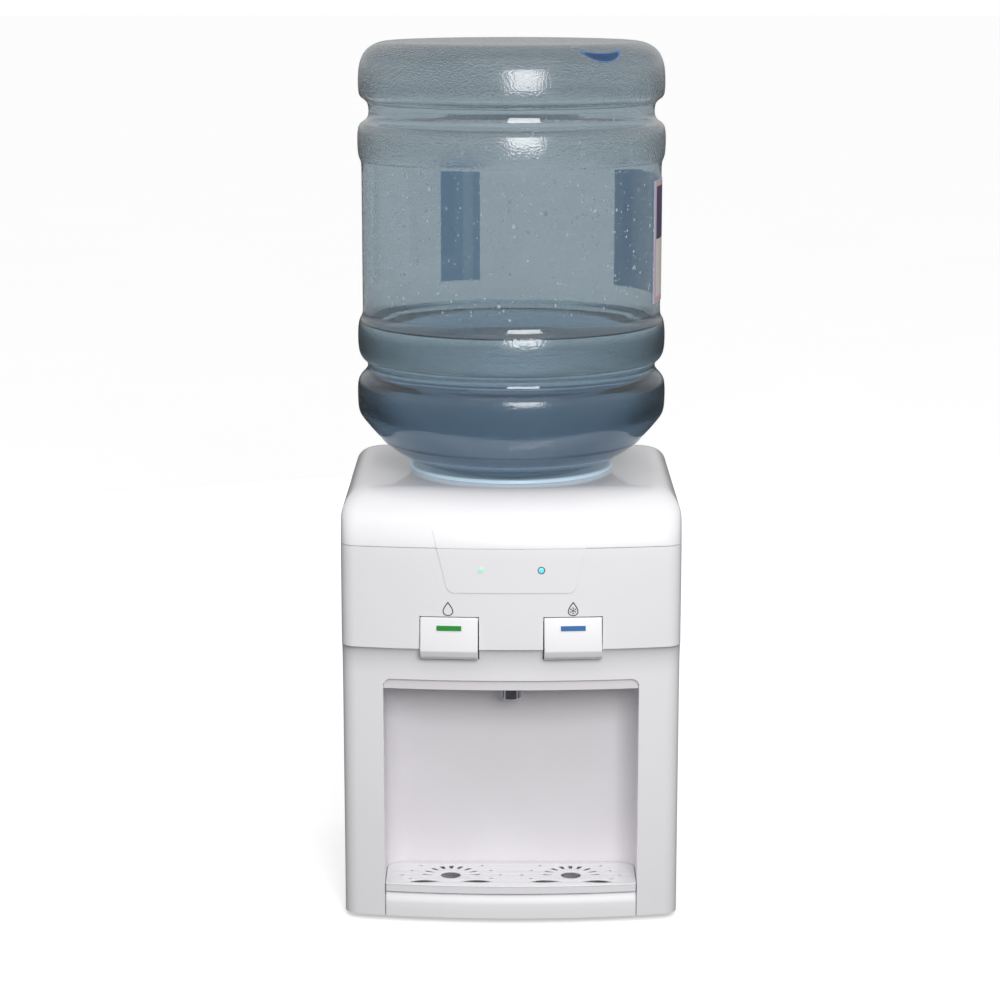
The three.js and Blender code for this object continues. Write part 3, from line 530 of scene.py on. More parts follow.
def black_abs():
    """Textured black ABS of electrical parts."""
    return moulded("black_abs_textured", "#1D1E20", "#242528", 0.5, grain=0.5, height=0.03, patch=12)


def red_abs():
    """Glossy red ABS of the rocker."""
    return moulded("red_abs_gloss", "#B4261F", "#A5201A", 0.25, patch=10)


def inner_white():
    """Unpolished white polypropylene of inner parts."""
    return moulded("white_polypropylene_satin", "#E8E8E5", "#DEDEDA", 0.48, height=0.03)


def silicone():
    """Translucent silicone tube: milky, with light let through."""
    return moulded("clear_silicone_milky", "#E6E8E8", "#D9DCDD", 0.42, patch=15, Transmission_Weight=0.4)


def foam():
    """Closed-cell foam: dark grey with visible cells about 1.5 mm across."""
    material, tree, shader, place = surface("grey_closed_cell_foam")
    cells = add(tree, "TexVoronoi", Vector=place, Scale=per_mm(1.5))
    tint = ramp_of(tree, cells.outputs["Distance"], (0.0, linear("#5A5D60")), (1.0, linear("#3B3E41")))
    tree.links.new(tint, shader.inputs["Base Color"])
    shader.inputs["Roughness"].default_value = 0.95
    bump = add(tree, "Bump", Height=cells.outputs["Distance"], Strength=0.6, Distance=0.3 * MM)
    tree.links.new(bump.outputs["Normal"], shader.inputs["Normal"])
    return material


def metal(name, light, dark, rough, stretch, grain, **constants):
    """A metal whose fine lines run along one axis: stretch squeezes the noise across that axis."""
    material, tree, shader, place = surface(name, Metallic=1.0, **constants)
    lines = add(tree, "Mapping", Vector=place, Scale=stretch)
    noise = add(tree, "TexNoise", Vector=lines.outputs["Vector"], Scale=per_mm(grain), Detail=4.0)
    tint = ramp_of(tree, noise.outputs["Fac"], (0.0, linear(dark)), (1.0, linear(light)))
    tree.links.new(tint, shader.inputs["Base Color"])
    spread_out = add(tree, "MapRange", Value=noise.outputs["Fac"], i3=rough * 0.8, i4=rough * 1.25)
    tree.links.new(spread_out.outputs["Result"], shader.inputs["Roughness"])
    bump = add(tree, "Bump", Height=noise.outputs["Fac"], Strength=0.15, Distance=0.02 * MM)
    tree.links.new(bump.outputs["Normal"], shader.inputs["Normal"])
    return material


def chrome():
    """Chromed plastic, worn to a soft shine, with a trace of orange peel."""
    return metal("chrome_plated", "#C9CCD0", "#B4B8BD", 0.24, (1, 1, 1), 6)


def stainless():
    """Drawn and brushed stainless steel: lines run round the piece."""
    return metal("stainless_steel_brushed", "#C3C5C6", "#A9ABAD", 0.3, (1, 1, 12), 4, Anisotropic=0.4)


def aluminium():
    """Extruded aluminium: matt silver with die lines along Z."""
    return metal("aluminium_extruded", "#CDD0D3", "#B9BCC0", 0.38, (10, 10, 1), 5)


def circuit_board():
    """Solder-masked glass fibre: deep green gloss with a faint weave of about 1 mm."""
    material, tree, shader, place = surface("green_solder_mask", IOR=1.5, Coat_Weight=0.3)
    mottled(tree, shader, place, "#1F6B3D", "#185A33", 5, 0.35, 0.05)
    grained(tree, shader, place, 1.0, 0.03)
    return material


def ceramic():
    """Alumina plate: chalky off-white."""
    return moulded("alumina_ceramic", "#F0EFE8", "#E4E3DB", 0.6, patch=8)


def coloured_insert(name, light, dark):
    """Small glossy moulded insert."""
    return moulded(name, light, dark, 0.3, patch=6, swing=0.02)


def lamp_lens(name, body, glow, strength):
    """Lit lamp lens: diffusing plastic that glows in faint clouds."""
    material, tree, shader, place = surface(name, IOR=1.49, Emission_Strength=strength)
    shader.inputs["Roughness"].default_value = 0.2
    cloud = add(tree, "TexNoise", Vector=place, Scale=per_mm(1.2), Detail=1.0)
    tint = ramp_of(tree, cloud.outputs["Fac"], (0.0, linear(body)), (1.0, linear(glow)))
    tree.links.new(tint, shader.inputs["Base Color"])
    tree.links.new(tint, shader.inputs["Emission Color"])
    return material


def ink():
    """Screen-printed dark grey ink, thin and slightly broken at its edges."""
    return moulded("dark_grey_print", "#3C3D40", "#4A4B4F", 0.5, grain=0.4, patch=2)


def bottle_clear():
    """Blown polycarbonate with a blue-grey tint. Rings and shoulder are stippled by the mould, about 1.7 mm
    a grain, and soften highlights; the bands and grooves between them are smooth, with faint level draw
    lines. Down the dome the tint deepens, for its thicker plastic and, beyond that, as painted shade of
    the shadow seen through it. Heights are in metres."""
    material, tree, shader, place = surface("tinted_polycarbonate_blown", IOR=1.58, Transmission_Weight=1.0)
    cloud = add(tree, "TexNoise", Vector=place, Scale=per_mm(70), Detail=2.0)
    tint = ramp_of(tree, cloud.outputs["Fac"], (0.0, linear("#BCC6CC")), (1.0, linear("#C3CDD2")))
    height = add(tree, "SeparateXYZ", Vector=place)
    # Painted shade, partly real: the tint deepens down the dome for its thicker plastic and for the shadow
    # seen through it.
    thick = add(tree, "MapRange", Value=height.outputs["Z"], i1=0.40, i2=0.50, i3=1.0, i4=0.0)
    dome = add(tree, "Mix", {"data_type": "RGBA", "blend_type": "MULTIPLY"}, Factor=thick.outputs["Result"])
    tree.links.new(tint, dome.inputs[6])
    dome.inputs[7].default_value = linear("#B4C9E2")
    tree.links.new(dome.outputs[2], shader.inputs["Base Color"])
    low, tall = 0.4, 0.4
    level = add(tree, "MapRange", Value=height.outputs["Z"], i1=low, i2=low + tall)
    bands = [(0.436, 0), (0.444, 1), (0.474, 1), (0.482, 0), (0.496, 0), (0.502, 1), (0.531, 1), (0.538, 0),
             (0.672, 0), (0.679, 1), (0.700, 1), (0.708, 0), (0.728, 0), (0.734, 1)]
    stops = [((z - low) / tall, (stippled, stippled, stippled, 1)) for z, stippled in bands]
    rough_bands = ramp_of(tree, level.outputs["Result"], *stops)
    grit = add(tree, "TexNoise", Vector=place, Scale=per_mm(1.7), Detail=0.0)
    stipple = add(tree, "Math", {"operation": "MULTIPLY"}, i0=grit.outputs["Fac"], i1=rough_bands)
    drawn = add(tree, "Mapping", Vector=place, Scale=(0.04, 0.04, 1))
    draw = add(tree, "TexNoise", Vector=drawn.outputs["Vector"], Scale=per_mm(3), Detail=2.0)
    lines = add(tree, "Bump", Height=draw.outputs["Fac"], Strength=0.25, Distance=0.15 * MM)
    bump = add(tree, "Bump", Height=stipple.outputs["Value"], Strength=0.5, Distance=0.3 * MM,
               Normal=lines.outputs["Normal"])
    tree.links.new(bump.outputs["Normal"], shader.inputs["Normal"])
    haze = add(tree, "MapRange", Value=rough_bands, i3=0.03, i4=0.16)
    tree.links.new(haze.outputs["Result"], shader.inputs["Roughness"])
    return material


def water():
    """Drinking water in the bottle: clear, with a blue cast for its depth. A faint ripple breaks it up."""
    material, tree, shader, place = surface("water_clear", IOR=1.33, Transmission_Weight=1.0, Roughness=0.0)
    cloud = add(tree, "TexNoise", Vector=place, Scale=per_mm(120), Detail=1.0)
    tint = ramp_of(tree, cloud.outputs["Fac"], (0.0, linear("#E0EFF6")), (1.0, linear("#E6F2F8")))
    tree.links.new(tint, shader.inputs["Base Color"])
    ripple = add(tree, "Bump", Height=cloud.outputs["Fac"], Strength=0.1, Distance=0.5 * MM)
    tree.links.new(ripple.outputs["Normal"], shader.inputs["Normal"])
    return material


def label_film(name, stripes):
    """Printed film. The print follows the piece's own UV map: stripes are (where it starts, colour) going
    up, between two side borders of the first colour."""
    material, tree, shader, _ = surface(name, IOR=1.5)
    spot = add(tree, "SeparateXYZ", Vector=add(tree, "UVMap", {"uv_map": "print"}).outputs["UV"])
    blocks = ramp_of(tree, spot.outputs["Y"], *[(start, linear(code)) for start, code in stripes], hard=True)
    centre = add(tree, "Math", {"operation": "SUBTRACT"}, i0=spot.outputs["X"], i1=0.5)
    from_middle = add(tree, "Math", {"operation": "ABSOLUTE"}, i0=centre.outputs[0])
    border = add(tree, "Math", {"operation": "GREATER_THAN"}, i0=from_middle.outputs[0], i1=0.46)
    print_mix = add(tree, "Mix", {"data_type": "RGBA"}, Factor=border.outputs[0])
    tree.links.new(blocks, print_mix.inputs[6])
    print_mix.inputs[7].default_value = linear(stripes[0][1])
    tree.links.new(print_mix.outputs[2], shader.inputs["Base Color"])
    grain = add(tree, "TexNoise", Vector=spot.outputs["X"], Scale=300.0)
    rough = add(tree, "MapRange", Value=grain.outputs["Fac"], i3=0.35, i4=0.5)
    tree.links.new(rough.outputs["Result"], shader.inputs["Roughness"])
    return material


def film_back_painted_glow(name, slate, strip):
    """Adhesive side of a printed film, seen through the wall: slate blue, glowing in its own colour as
    painted light for the daylight coming through it. A paler strip runs up it where its ends overlap, placed
    by the piece's own UV map."""
    # Painted glow: the emission lights the film, which light through the glass hardly reaches.
    material, tree, shader, _ = surface(name, IOR=1.5, Roughness=0.5, Emission_Strength=0.8)
    spot = add(tree, "SeparateXYZ", Vector=add(tree, "UVMap", {"uv_map": "print"}).outputs["UV"])
    stops = [(0.0, linear(slate)), (0.17, linear(strip)), (0.42, linear(slate))]
    tint = ramp_of(tree, spot.outputs["X"], *stops, hard=True)
    tree.links.new(tint, shader.inputs["Emission Color"])
    tree.links.new(tint, shader.inputs["Base Color"])
    return material


FINISHES = {
    "white_abs": white_abs(),
    "liner_abs": liner_abs(),
    "rubber": rubber(),
    "pale_blue_pp": pale_blue_pp(),
    "bottle_pc": bottle_clear(),
    "cap_blue": cap_blue(),
    "label_film": label_film("printed_film_face", [(0.0, "#D9B9C4"), (0.05, "#E4E0DC"), (0.52, "#4C4868"),
                                                   (0.95, "#D9B9C4")]),
    "tray_abs": tray_abs(),
    "back_label_film": film_back_painted_glow("film_adhesive_side_painted_glow", "#92A8BD", "#92A8BD"),
    "chrome": chrome(),
    "stainless": stainless(),
    "aluminium": aluminium(),
    "silicone": silicone(),
    "foam": foam(),
    "black_abs": black_abs(),
    "inner_white": inner_white(),
    "circuit_board": circuit_board(),
    "ceramic": ceramic(),
    "green_insert": coloured_insert("green_insert_moulded", "#16912A", "#128423"),
    "blue_insert": coloured_insert("blue_insert_moulded", "#1C69AC", "#175F9F"),
    "green_lens": lamp_lens("green_lamp_lens", "#7FCFA6", "#B9EED3", 0.35),
    "cyan_lens": lamp_lens("cyan_lamp_lens", "#3FB9C9", "#8CE6EE", 0.5),
    "red_abs": red_abs(),
}
INK = ink()
SEAMED_FILM = film_back_painted_glow("film_adhesive_side_seamed", "#A0B8CF", "#B6C9D8")
SECOND_FILM = label_film("second_film_face", [(0.0, "#C9D3DC"), (0.06, "#DDE3E8"), (0.7, "#47618A"),
                                              (0.94, "#C9D3DC")])
LAMP_RING = moulded("teal_abs_bezel", "#3E6E78", "#386670", 0.25, patch=4)
WATER = water()
# Painted glint: the droplets' pale emission stands for the light they catch from bright surroundings.
CONDENSATION_PAINTED_GLINT = moulded("condensation_painted_glint", "#DDE6EA", "#CFDCE2", 0.2, grain=0.5, patch=4,
                       Transmission_Weight=0.3, Emission_Strength=0.3, Emission_Color=linear("#D5E2E8"))

for subpart in frame["record"]["subparts"]:
    NODES[subpart["node"]].data.materials.clear()
    NODES[subpart["node"]].data.materials.append(FINISHES[subpart["material_slot"]])


# ------------------------------------------------------------------ case
def evenly(path, count):
    """Points spaced evenly by length along a path."""
    along = np.concatenate([[0], np.cumsum(np.linalg.norm(np.diff(path, axis=0), axis=1))])
    at = np.linspace(0, along[-1], count)
    return np.stack([np.interp(at, along, path[:, 0]), np.interp(at, along, path[:, 1])], 1)


def corner_centre(front):
    """Centre of the round front corner on the right, where the front stands back by that much."""
    x = CASE_HALF - CASE_CORNER
    return x, FRONT_CENTRE - np.sqrt((FRONT_R - front - CASE_CORNER) ** 2 - x**2)


def front_row(front, bow_angles):
    """Right half of one level of the front moulding: the bow, the round corner and the side to the seam."""
    r = FRONT_R - front
    x, y = corner_centre(front)
    sweep = np.arctan2(x, FRONT_CENTRE - y)
    bow = np.concatenate([bow_angles, [sweep]]) - pi / 2
    bow_line = np.stack([r * np.cos(bow), FRONT_CENTRE + r * np.sin(bow)], 1)
    cut = np.arcsin(min(0.0, (FRONT_SEAM - y) / CASE_CORNER))
    corner = arc(x, y, CASE_CORNER, -pi / 2 + sweep, cut, 30)
    path = np.concatenate([corner, [(corner[-1, 0], max(FRONT_SEAM, corner[-1, 1]))]])
    return np.concatenate([bow_line, evenly(path, 13)[1:]])


def corner_patch(side):
    """Fills the outside of a round corner of the recess opening: each point of the quarter circle is joined
    to the point of the square corner at the same step."""
    middle = np.array([RECESS_HALF - RECESS_CORNER, RECESS_TOP - RECESS_CORNER])
    inner = arc(*middle, RECESS_CORNER, 0, pi / 2, 9)
    up = between((RECESS_HALF, middle[1]), (RECESS_HALF, RECESS_TOP), 5)
    across = between((RECESS_HALF, RECESS_TOP), (middle[0], RECESS_TOP), 5)
    outer = np.concatenate([up, across[1:]])
    flat = np.stack([inner, outer])
    return np.stack([side * flat[..., 0], front_y(flat[..., 0], COVE_DEPTH), flat[..., 1]], -1)


def front_shell():
    """Bowed fascia, cove and frame in one moulding. Its grid has a column and a row along every edge of the
    recess and of the two button windows, whose cells are left out."""
    half, low, high = WINDOW
    frame_r = FRONT_R - COVE_DEPTH
    near_corner = np.arcsin((RECESS_HALF - RECESS_CORNER) / frame_r)
    recess_edge = np.arcsin(RECESS_HALF / frame_r)
    window_half = np.arcsin(half / FRONT_R)
    left, right = BUTTON_TURN - window_half, BUTTON_TURN + window_half
    angles = spread((0.0, 0), (left, 6), (right, 12), (near_corner, 6), (recess_edge, 4),
                    (np.arcsin(122 / FRONT_R), 2))
    reach = FASCIA_BOTTOM - COVE_BOTTOM
    window_angle = np.arcsin((low - COVE_BOTTOM) / reach)
    cove = COVE_BOTTOM + reach * np.sin(spread((0.0, 0), (window_angle, 6), (pi / 2, 9)))
    z = np.concatenate([
        spread((CASE_BOTTOM, 0), (RECESS_TOP - RECESS_CORNER, 14), (RECESS_TOP, 4), (COVE_BOTTOM, 1))[:-1],
        cove, spread((FASCIA_BOTTOM, 0), (high, 6), (PLATEAU_BOTTOM, 4), (SHELL_TOP, 8))[1:],
    ])
    rows = [at_height(front_row(float(set_back(level)), angles), level) for level in z]
    right_side = np.stack(rows)
    whole = np.concatenate([right_side[:, :0:-1] * (-1, 1, 1), right_side], 1)
    columns = right_side.shape[1]
    angle_of = np.concatenate([angles, np.full(columns - len(angles), 1.0)])
    middle = (angle_of[:-1] + angle_of[1:]) / 2
    middle = np.concatenate([middle[::-1], middle])[None, :]
    level = ((z[:-1] + z[1:]) / 2)[:, None]
    in_recess = (middle < recess_edge) & (level < RECESS_TOP)
    in_window = (middle > left) & (middle < right) & (level > low) & (level < high)
    skin = Skin().grid(whole, keep=~(in_recess | in_window))
    skin.grid(corner_patch(1), flip=True).grid(corner_patch(-1))
    return build("front_moulding", skin, "root", "white_abs", FINISHES["white_abs"], ["front_shell"],
                 closed=False, wall=WALL, edge=0.7, smooth=42, steps=3)


def plateau(name, low, high):
    """Part of the low plateau that carries the lamps, as a skin over the case between two heights: a
    trapezoid whose lower corners are quarter circles."""
    ease = (1 - np.cos(spread((0.0, 0), (pi / 2, 6)))) * PLATEAU_CORNER
    z = np.concatenate([low + ease, spread((low + PLATEAU_CORNER, 0), (high, 8))[1:]])
    share = (z - PLATEAU_BOTTOM) / (PLATEAU_TOP - PLATEAU_BOTTOM)
    half = PLATEAU_HALF_BOTTOM + (PLATEAU_HALF_TOP - PLATEAU_HALF_BOTTOM) * share
    if low == PLATEAU_BOTTOM:
        short = np.clip(PLATEAU_CORNER - (z - low), 0, PLATEAU_CORNER)
        half = half - (PLATEAU_CORNER - np.sqrt(PLATEAU_CORNER**2 - short**2))
    x = np.linspace(-1, 1, 41)[None, :] * half[:, None]
    y = FRONT_CENTRE - np.sqrt((FRONT_R - set_back(z)[:, None] + PLATEAU_HEIGHT) ** 2 - x**2)
    points = np.stack([x, y, np.broadcast_to(z[:, None], x.shape)], -1)
    return build(name, Skin().grid(points), "root", "white_abs", FINISHES["white_abs"], closed=False,
                 wall=PLATEAU_HEIGHT + 1.2, edge=0.85, steps=4)


def side_panel(side):
    """Flat side with a round rear corner, from the seam behind the front moulding to the rear panel."""
    node = "right_side_panel" if side > 0 else "left_side_panel"
    z = spread((CASE_BOTTOM, 0), (CASE_TOP - TOP_ROLL, 10), (SHELL_TOP, 2))
    rows = []
    for level in z:
        back = CASE_BACK - float(roll(level, CASE_TOP - TOP_ROLL, TOP_ROLL))
        corner = arc(CASE_HALF - CASE_CORNER, back - CASE_CORNER, CASE_CORNER, 0, pi / 2, 10)
        straight = between((CASE_HALF, FRONT_SEAM + 0.3), corner[0], 48)
        nearest = corner_centre(float(set_back(level)))[1]
        straight[:, 0] -= roll(-straight[:, 1], -nearest, CASE_CORNER)
        rear = between(corner[-1], (corners("rear_panel")[1][0] + 0.3, back), 3)
        rows.append(at_height(np.concatenate([straight, corner[1:], rear[1:]]) * (side, 1), level))
    skin = Skin().grid(np.stack(rows), flip=side < 0)
    return build(node + "_moulding", skin, "root", "white_abs", FINISHES["white_abs"], [node], closed=False,
                 wall=WALL, edge=0.5)


def top_cover():
    """Rolled front and rear, rounded sides, flat top: plan outlines stacked by height, then blended on the
    flat top into the round hole of the bottle's seat."""
    angle = spread((np.arcsin((SEAM - CASE_TOP + TOP_ROLL) / TOP_ROLL), 0), (pi / 2, 26))
    levels = CASE_TOP - TOP_ROLL + TOP_ROLL * np.sin(angle)
    rings = [at_height(case_plan(level), level) for level in levels]
    edge = rings[-1]
    bearing = np.arctan2(edge[:, 1], edge[:, 0])
    hole = np.stack([COLLAR_HOLE * np.cos(bearing), COLLAR_HOLE * np.sin(bearing)], 1)
    rings += [at_height(edge[:, :2] * (1 - t) + hole * t, CASE_TOP) for t in np.linspace(0.12, 1, 8)]
    return build("top_cover_moulding", Skin().grid(np.stack(rings), closed=True), "root", "white_abs",
                 FINISHES["white_abs"], ["top_cover"], closed=False, wall=WALL, edge=0.6, steps=3)


# ------------------------------------------------------------------ recess, spout, tray
def recess_liner():
    """One moulding seen from inside: a ceiling with the spout's hole, a lip up behind the frame, and a wall
    with round rear corners running down to the tray."""
    bow, turn = 16, 10
    half_line = bowed_half(RECESS_HALF, LINER_FRONT, LINER_BACK, 1.0, LINER_CORNER, bow=bow, turn=turn,
                           rear=12)
    outline = mirrored(half_line)
    centre = np.array([0.0, NOZZLE_Y])
    bearing = np.arctan2(outline[:, 1] - centre[1], outline[:, 0] - centre[0])
    hole_r = corners("spout_nozzle")[1][0] - 3.4
    hole = centre + hole_r * np.stack([np.cos(bearing), np.sin(bearing)], 1)
    steps = spread((0.0, 0), (0.2, 2), (1.0, 4))
    ceiling = [at_height(hole * (1 - t) + outline * t, CEILING) for t in steps]
    lip = half_line[:bow]
    lip = np.concatenate([lip[:0:-1] * (-1, 1), lip])
    rear = half_line[bow + turn - 2:]
    rear = np.concatenate([rear, rear[-2::-1] * (-1, 1)])
    wall_levels = spread((corners("recess_liner")[0][2], 0), (CEILING, 14))
    skin = Skin().grid(np.stack(ceiling), closed=True)
    skin.grid(np.stack([at_height(lip, CEILING), at_height(lip, RECESS_TOP)]))
    skin.grid(np.stack([at_height(rear, z) for z in wall_levels]), flip=True)
    return build("recess_liner_moulding", skin, "root", "liner_abs", FINISHES["liner_abs"], ["recess_liner"],
                 closed=False, wall=2.0, edge=0.9, smooth=42, steps=3)


def spout_nozzle():
    """Chromed sleeve with twelve shallow flutes, a rolled rim and a collar above; a floor inside it carries
    two outlet pipes, and two hose barbs stand on top."""
    r, top, bottom = 9.0, corners("spout_nozzle")[1][2] - 8.5, NOZZLE_BOTTOM
    floor = bottom + 12
    place = np.array([0, NOZZLE_Y, 0])
    sleeve = fillet([(r - 2, bottom + 14), (r - 2, bottom + 1.0), (r - 1.2, bottom), (r - 0.3, bottom + 0.3),
                     (r, bottom + 1.4), (r, top - 3.5), (12.6, top - 2.5), (12.6, top), (r - 2, top)], 0.8)
    sleeve = np.concatenate([sleeve, sleeve[:1]])
    skin = Skin().grid(lathe(sleeve, 120, flutes=12, depth=0.03) + place, closed=True)
    pipe = fillet([(2.1, floor), (2.1, bottom + 2), (3.0, bottom + 2), (3.0, floor)], 0.3)
    pipe = lathe(np.concatenate([pipe, pipe[:1]]), 32) + place
    for side in (-1, 1):
        skin.grid(pipe + (side * 3.6, 0, 0), closed=True)
    plate = [(0, floor), (r - 1.8, floor), (r - 1.8, floor + 1), (0, floor + 1)]
    skin.grid(lathe(plate, 32) + place, closed=True)
    barb = fillet([(0, top - 1), (3, top - 1), (3, top + 5), (2.4, top + 8.5), (0, top + 8.5)], 0.4)
    for side in (-1, 1):
        skin.grid(lathe(barb, 24) + place + (side * 5, 0, 0), closed=True)
    return build("spout_sleeve", skin, "root", "chrome", FINISHES["chrome"], ["spout_nozzle"], smooth=50)


def tray_plan(front, inset=0.0):
    """Closed plan outline of tray and grille."""
    half = bowed_half(TRAY_HALF - inset, front + inset, TRAY_BACK - inset, 2.0, 17.0 - inset, bow=TRAY_BOW)
    return mirrored(half)


def drip_tray():
    """Basin with a finger cove under the grille's lip: plan outlines stacked by height on the outside, over
    the rim and down the inside. Below the floor only a skirt along the front goes on down to the feet."""
    floor, rim = 8.6, corners("drip_tray")[1][2]
    skirt = tray_plan(COVE_DEPTH)
    front = np.minimum(front_y(skirt[:, 0], SKIRT_BACK), skirt[:, 1])
    past_corner = slice(TRAY_BOW + 6, -(TRAY_BOW + 5))
    front[past_corner] = front_y(skirt[past_corner, 0], SKIRT_BACK)
    skirt[:, 1] = front
    t = np.linspace(0, 1, 9)
    cove_z = 18.0 + (rim - 18.0) * t
    cove_front = COVE_DEPTH + 5.0 * (0.75 * t**2 + 0.25 * t)
    levels = [(floor, COVE_DEPTH, 0.0), (12.0, COVE_DEPTH, 0.0)]
    levels += [(z, front, 0.0) for z, front in zip(cove_z, cove_front)]
    levels += [(rim, 13.4, 1.8), (floor + 4, 13.4, 3.0), (floor + 2.4, 14.5, 4.5)]
    rings = [at_height(skirt, CASE_BOTTOM), at_height(skirt, floor)]
    rings += [at_height(tray_plan(front, inset), z) for z, front, inset in levels]
    # The tray's finish carries painted shade on its basin floor.
    return build("drip_tray_moulding", solid_of(np.stack(rings)), "tray", "white_abs", FINISHES["tray_abs"],
                 ["drip_tray"], edge=0.6, steps=3)


def pierced_plate(outlines, thickness, rounding):
    """Closed outlines, of which the inner ones are holes, raised to a plate whose rounded edges lie outside
    the outlines. It returns the points, about the middle of the thickness, and the faces."""
    curve = bpy.data.curves.new("plate_outline", "CURVE")
    curve.dimensions = "2D"
    curve.fill_mode = "BOTH"
    for outline in outlines:
        line = curve.splines.new("POLY")
        line.points.add(len(outline) - 1)
        spots = np.zeros((len(outline), 4))
        spots[:, :2] = outline
        line.points.foreach_set("co", spots.ravel())
        line.use_cyclic_u = True
    curve.extrude = thickness / 2 - rounding
    curve.bevel_depth = rounding
    curve.bevel_resolution = 2
    flat = bpy.data.objects.new("flat_plate", curve)
    bpy.context.scene.collection.objects.link(flat)
    shape = bpy.data.meshes.new_from_object(flat.evaluated_get(bpy.context.evaluated_depsgraph_get()))
    bpy.data.objects.remove(flat)
    points = np.empty(len(shape.vertices) * 3)
    shape.vertices.foreach_get("co", points)
    faces = [list(face.vertices) for face in shape.polygons]
    bpy.data.meshes.remove(shape)
    return points.reshape(-1, 3), faces


def radial_slot(x, y, degrees):
    """Tapered slot with round ends, pointing away from (x, y); 0 degrees is straight back."""
    a = np.radians(degrees)
    outer = arc(0, 24.2, 2.5, 0, pi, 8)
    inner = arc(0, 18.2, 1.6, pi, 2 * pi, 6)
    shape = np.concatenate([outer, inner])
    return np.stack([x + shape[:, 0] * np.cos(a) + shape[:, 1] * np.sin(a),
                     y - shape[:, 0] * np.sin(a) + shape[:, 1] * np.cos(a)], 1)


def leaf_slot(x, y, hand):
    """Drain slot like a leaf: a bowed upper edge over a flatter lower one, thick at its outer end."""
    t = np.linspace(0, 1, 24)
    reach = 3.5 + 36.0 * t
    belly = np.sin(pi * t**1.3)
    upper = -17.8 + 2.2 * np.sin(pi * t) + 4.6 * belly
    lower = -17.8 + 2.2 * np.sin(pi * t) - 4.4 * belly
    shape = np.concatenate([np.stack([reach, upper], 1), np.stack([reach, lower], 1)[-2:0:-1]])
    return shape * (hand, 1) + (x, y)


def drip_grille():
    """Perforated plate, thin as it shows at its holes, with a short skirt under its edge. Round each target
    hole stand nine radial slots, and on either side of it a leaf slot and four dots."""
    low, high = corners("drip_grille")[0][2], corners("drip_grille")[1][2]
    plate, rounding = 1.3, 0.35
    outlines = [tray_plan(COVE_DEPTH, rounding)]
    for x in (-TARGET_X, TARGET_X):
        outlines.append(circle(x, TARGET_Y, 9.0 + rounding, 48))
        outlines += [radial_slot(x, TARGET_Y, turn) for turn in (-84, -64, -43, -21, 0, 21, 43, 64, 84)]
        for hand in (-1, 1):
            outlines.append(leaf_slot(x, TARGET_Y, hand))
            for dx, dy in ((28, 25.5), (36, 12.5), (44.5, 1.0), (36.5, -8.5)):
                outlines.append(circle(x + hand * dx, TARGET_Y + dy, 2.2, 16))
    points, faces = pierced_plate(outlines, plate, rounding)
    skin = Skin().loose(points + (0, 0, high - plate / 2), faces)
    top = high - plate + 0.2
    ring = [(0.25, low + 0.3), (0.25, top), (2.3, top), (2.3, low), (0.55, low), (0.25, low + 0.3)]
    skin.grid(np.stack([at_height(tray_plan(COVE_DEPTH, inset), z) for inset, z in ring]), closed=True)
    return build("drip_grille_plate", skin, "grille", "white_abs", FINISHES["white_abs"], ["drip_grille"],
                 smooth=40)


# ------------------------------------------------------------------ buttons, lamps, printed marks
def carried_across(outline, stations):
    """A (y, z) outline carried along X through the given stations, as rings."""
    return np.stack([np.column_stack([np.full(len(outline), x), outline]) for x in stations])


def button(name, side):
    """Push button: the side profile of its cap carried across its width and drawn in a little at both ends,
    and a lever arm behind on a trunnion."""
    profile = fillet([(-146.5, BUTTON_BOTTOM), (-149.4, BUTTON_BOTTOM), (-152.9, 250.4), (-155.2, 256.0),
                      (-150.6, BUTTON_TOP), (-146.5, BUTTON_TOP)], 1.0, 6, closed=True)
    rim = 0.7
    middle = profile.mean(0)
    half_rings = []
    for from_end, draw_in in ((0.0, 0.7), (rim * 0.3, 0.2), (rim, 0.0)):
        shape = middle + (profile - middle) * (1 - draw_in / np.array([8.7, 38.0]))
        half_rings.extend(carried_across(shape, [BUTTON_HALF - from_end]))
    rings = [ring * (-1, 1, 1) for ring in half_rings] + half_rings[::-1]
    skin = solid_of(turned_to_front(np.stack(rings), side))
    arm = fillet([(-4.5, 281.5), (4.5, 281.5), (4.5, 284.5), (-4.5, 284.5)], 0.8, 4, closed=True)
    lever = [np.column_stack([arm[:, 0], np.full(len(arm), y), arm[:, 1]]) for y in LEVER_ENDS]
    trunnion = carried_across(circle(PIVOT_Y, PIVOT_Z, PIVOT_R, 16), (-PIVOT_HALF, PIVOT_HALF))
    for part in (np.stack(lever), trunnion):
        skin.bar(turned_to_front(part, side))
    return build(f"button_cap_{name}", skin, f"{name}_button", "white_abs", FINISHES["white_abs"],
                 [f"button_{name}"], smooth=50)


def lamp(name, side, finish, ring_finish):
    """Domed lamp lens in a thin raised ring."""
    x, z = side * LAMP_X, LAMP_Z
    slot = f"{finish}_lens"
    face = -float(front_y(x, -PLATEAU_HEIGHT))
    lens = fillet([(0, face + 0.7), (1.6, face + 0.6), (2.45, face + 0.1), (2.45, face - 6.0),
                   (0, face - 6.0)], 0.6)
    lens = along_y(lathe(lens, 40)) * (1, -1, 1) + (x, 0, z)
    build(f"lamp_lens_{name}", Skin().grid(lens, closed=True), "root", slot, FINISHES[slot], [f"led_{name}"])
    ring = fillet([(2.5, face - 0.6), (2.5, face + 0.28), (3.3, face + 0.28), (3.45, face - 0.6)], 0.2)
    ring = along_y(lathe(np.concatenate([ring, ring[:1]]), 40)) * (1, -1, 1) + (x, 0, z)
    build(f"lamp_ring_{name}", Skin().grid(ring, closed=True), "root", slot, ring_finish)


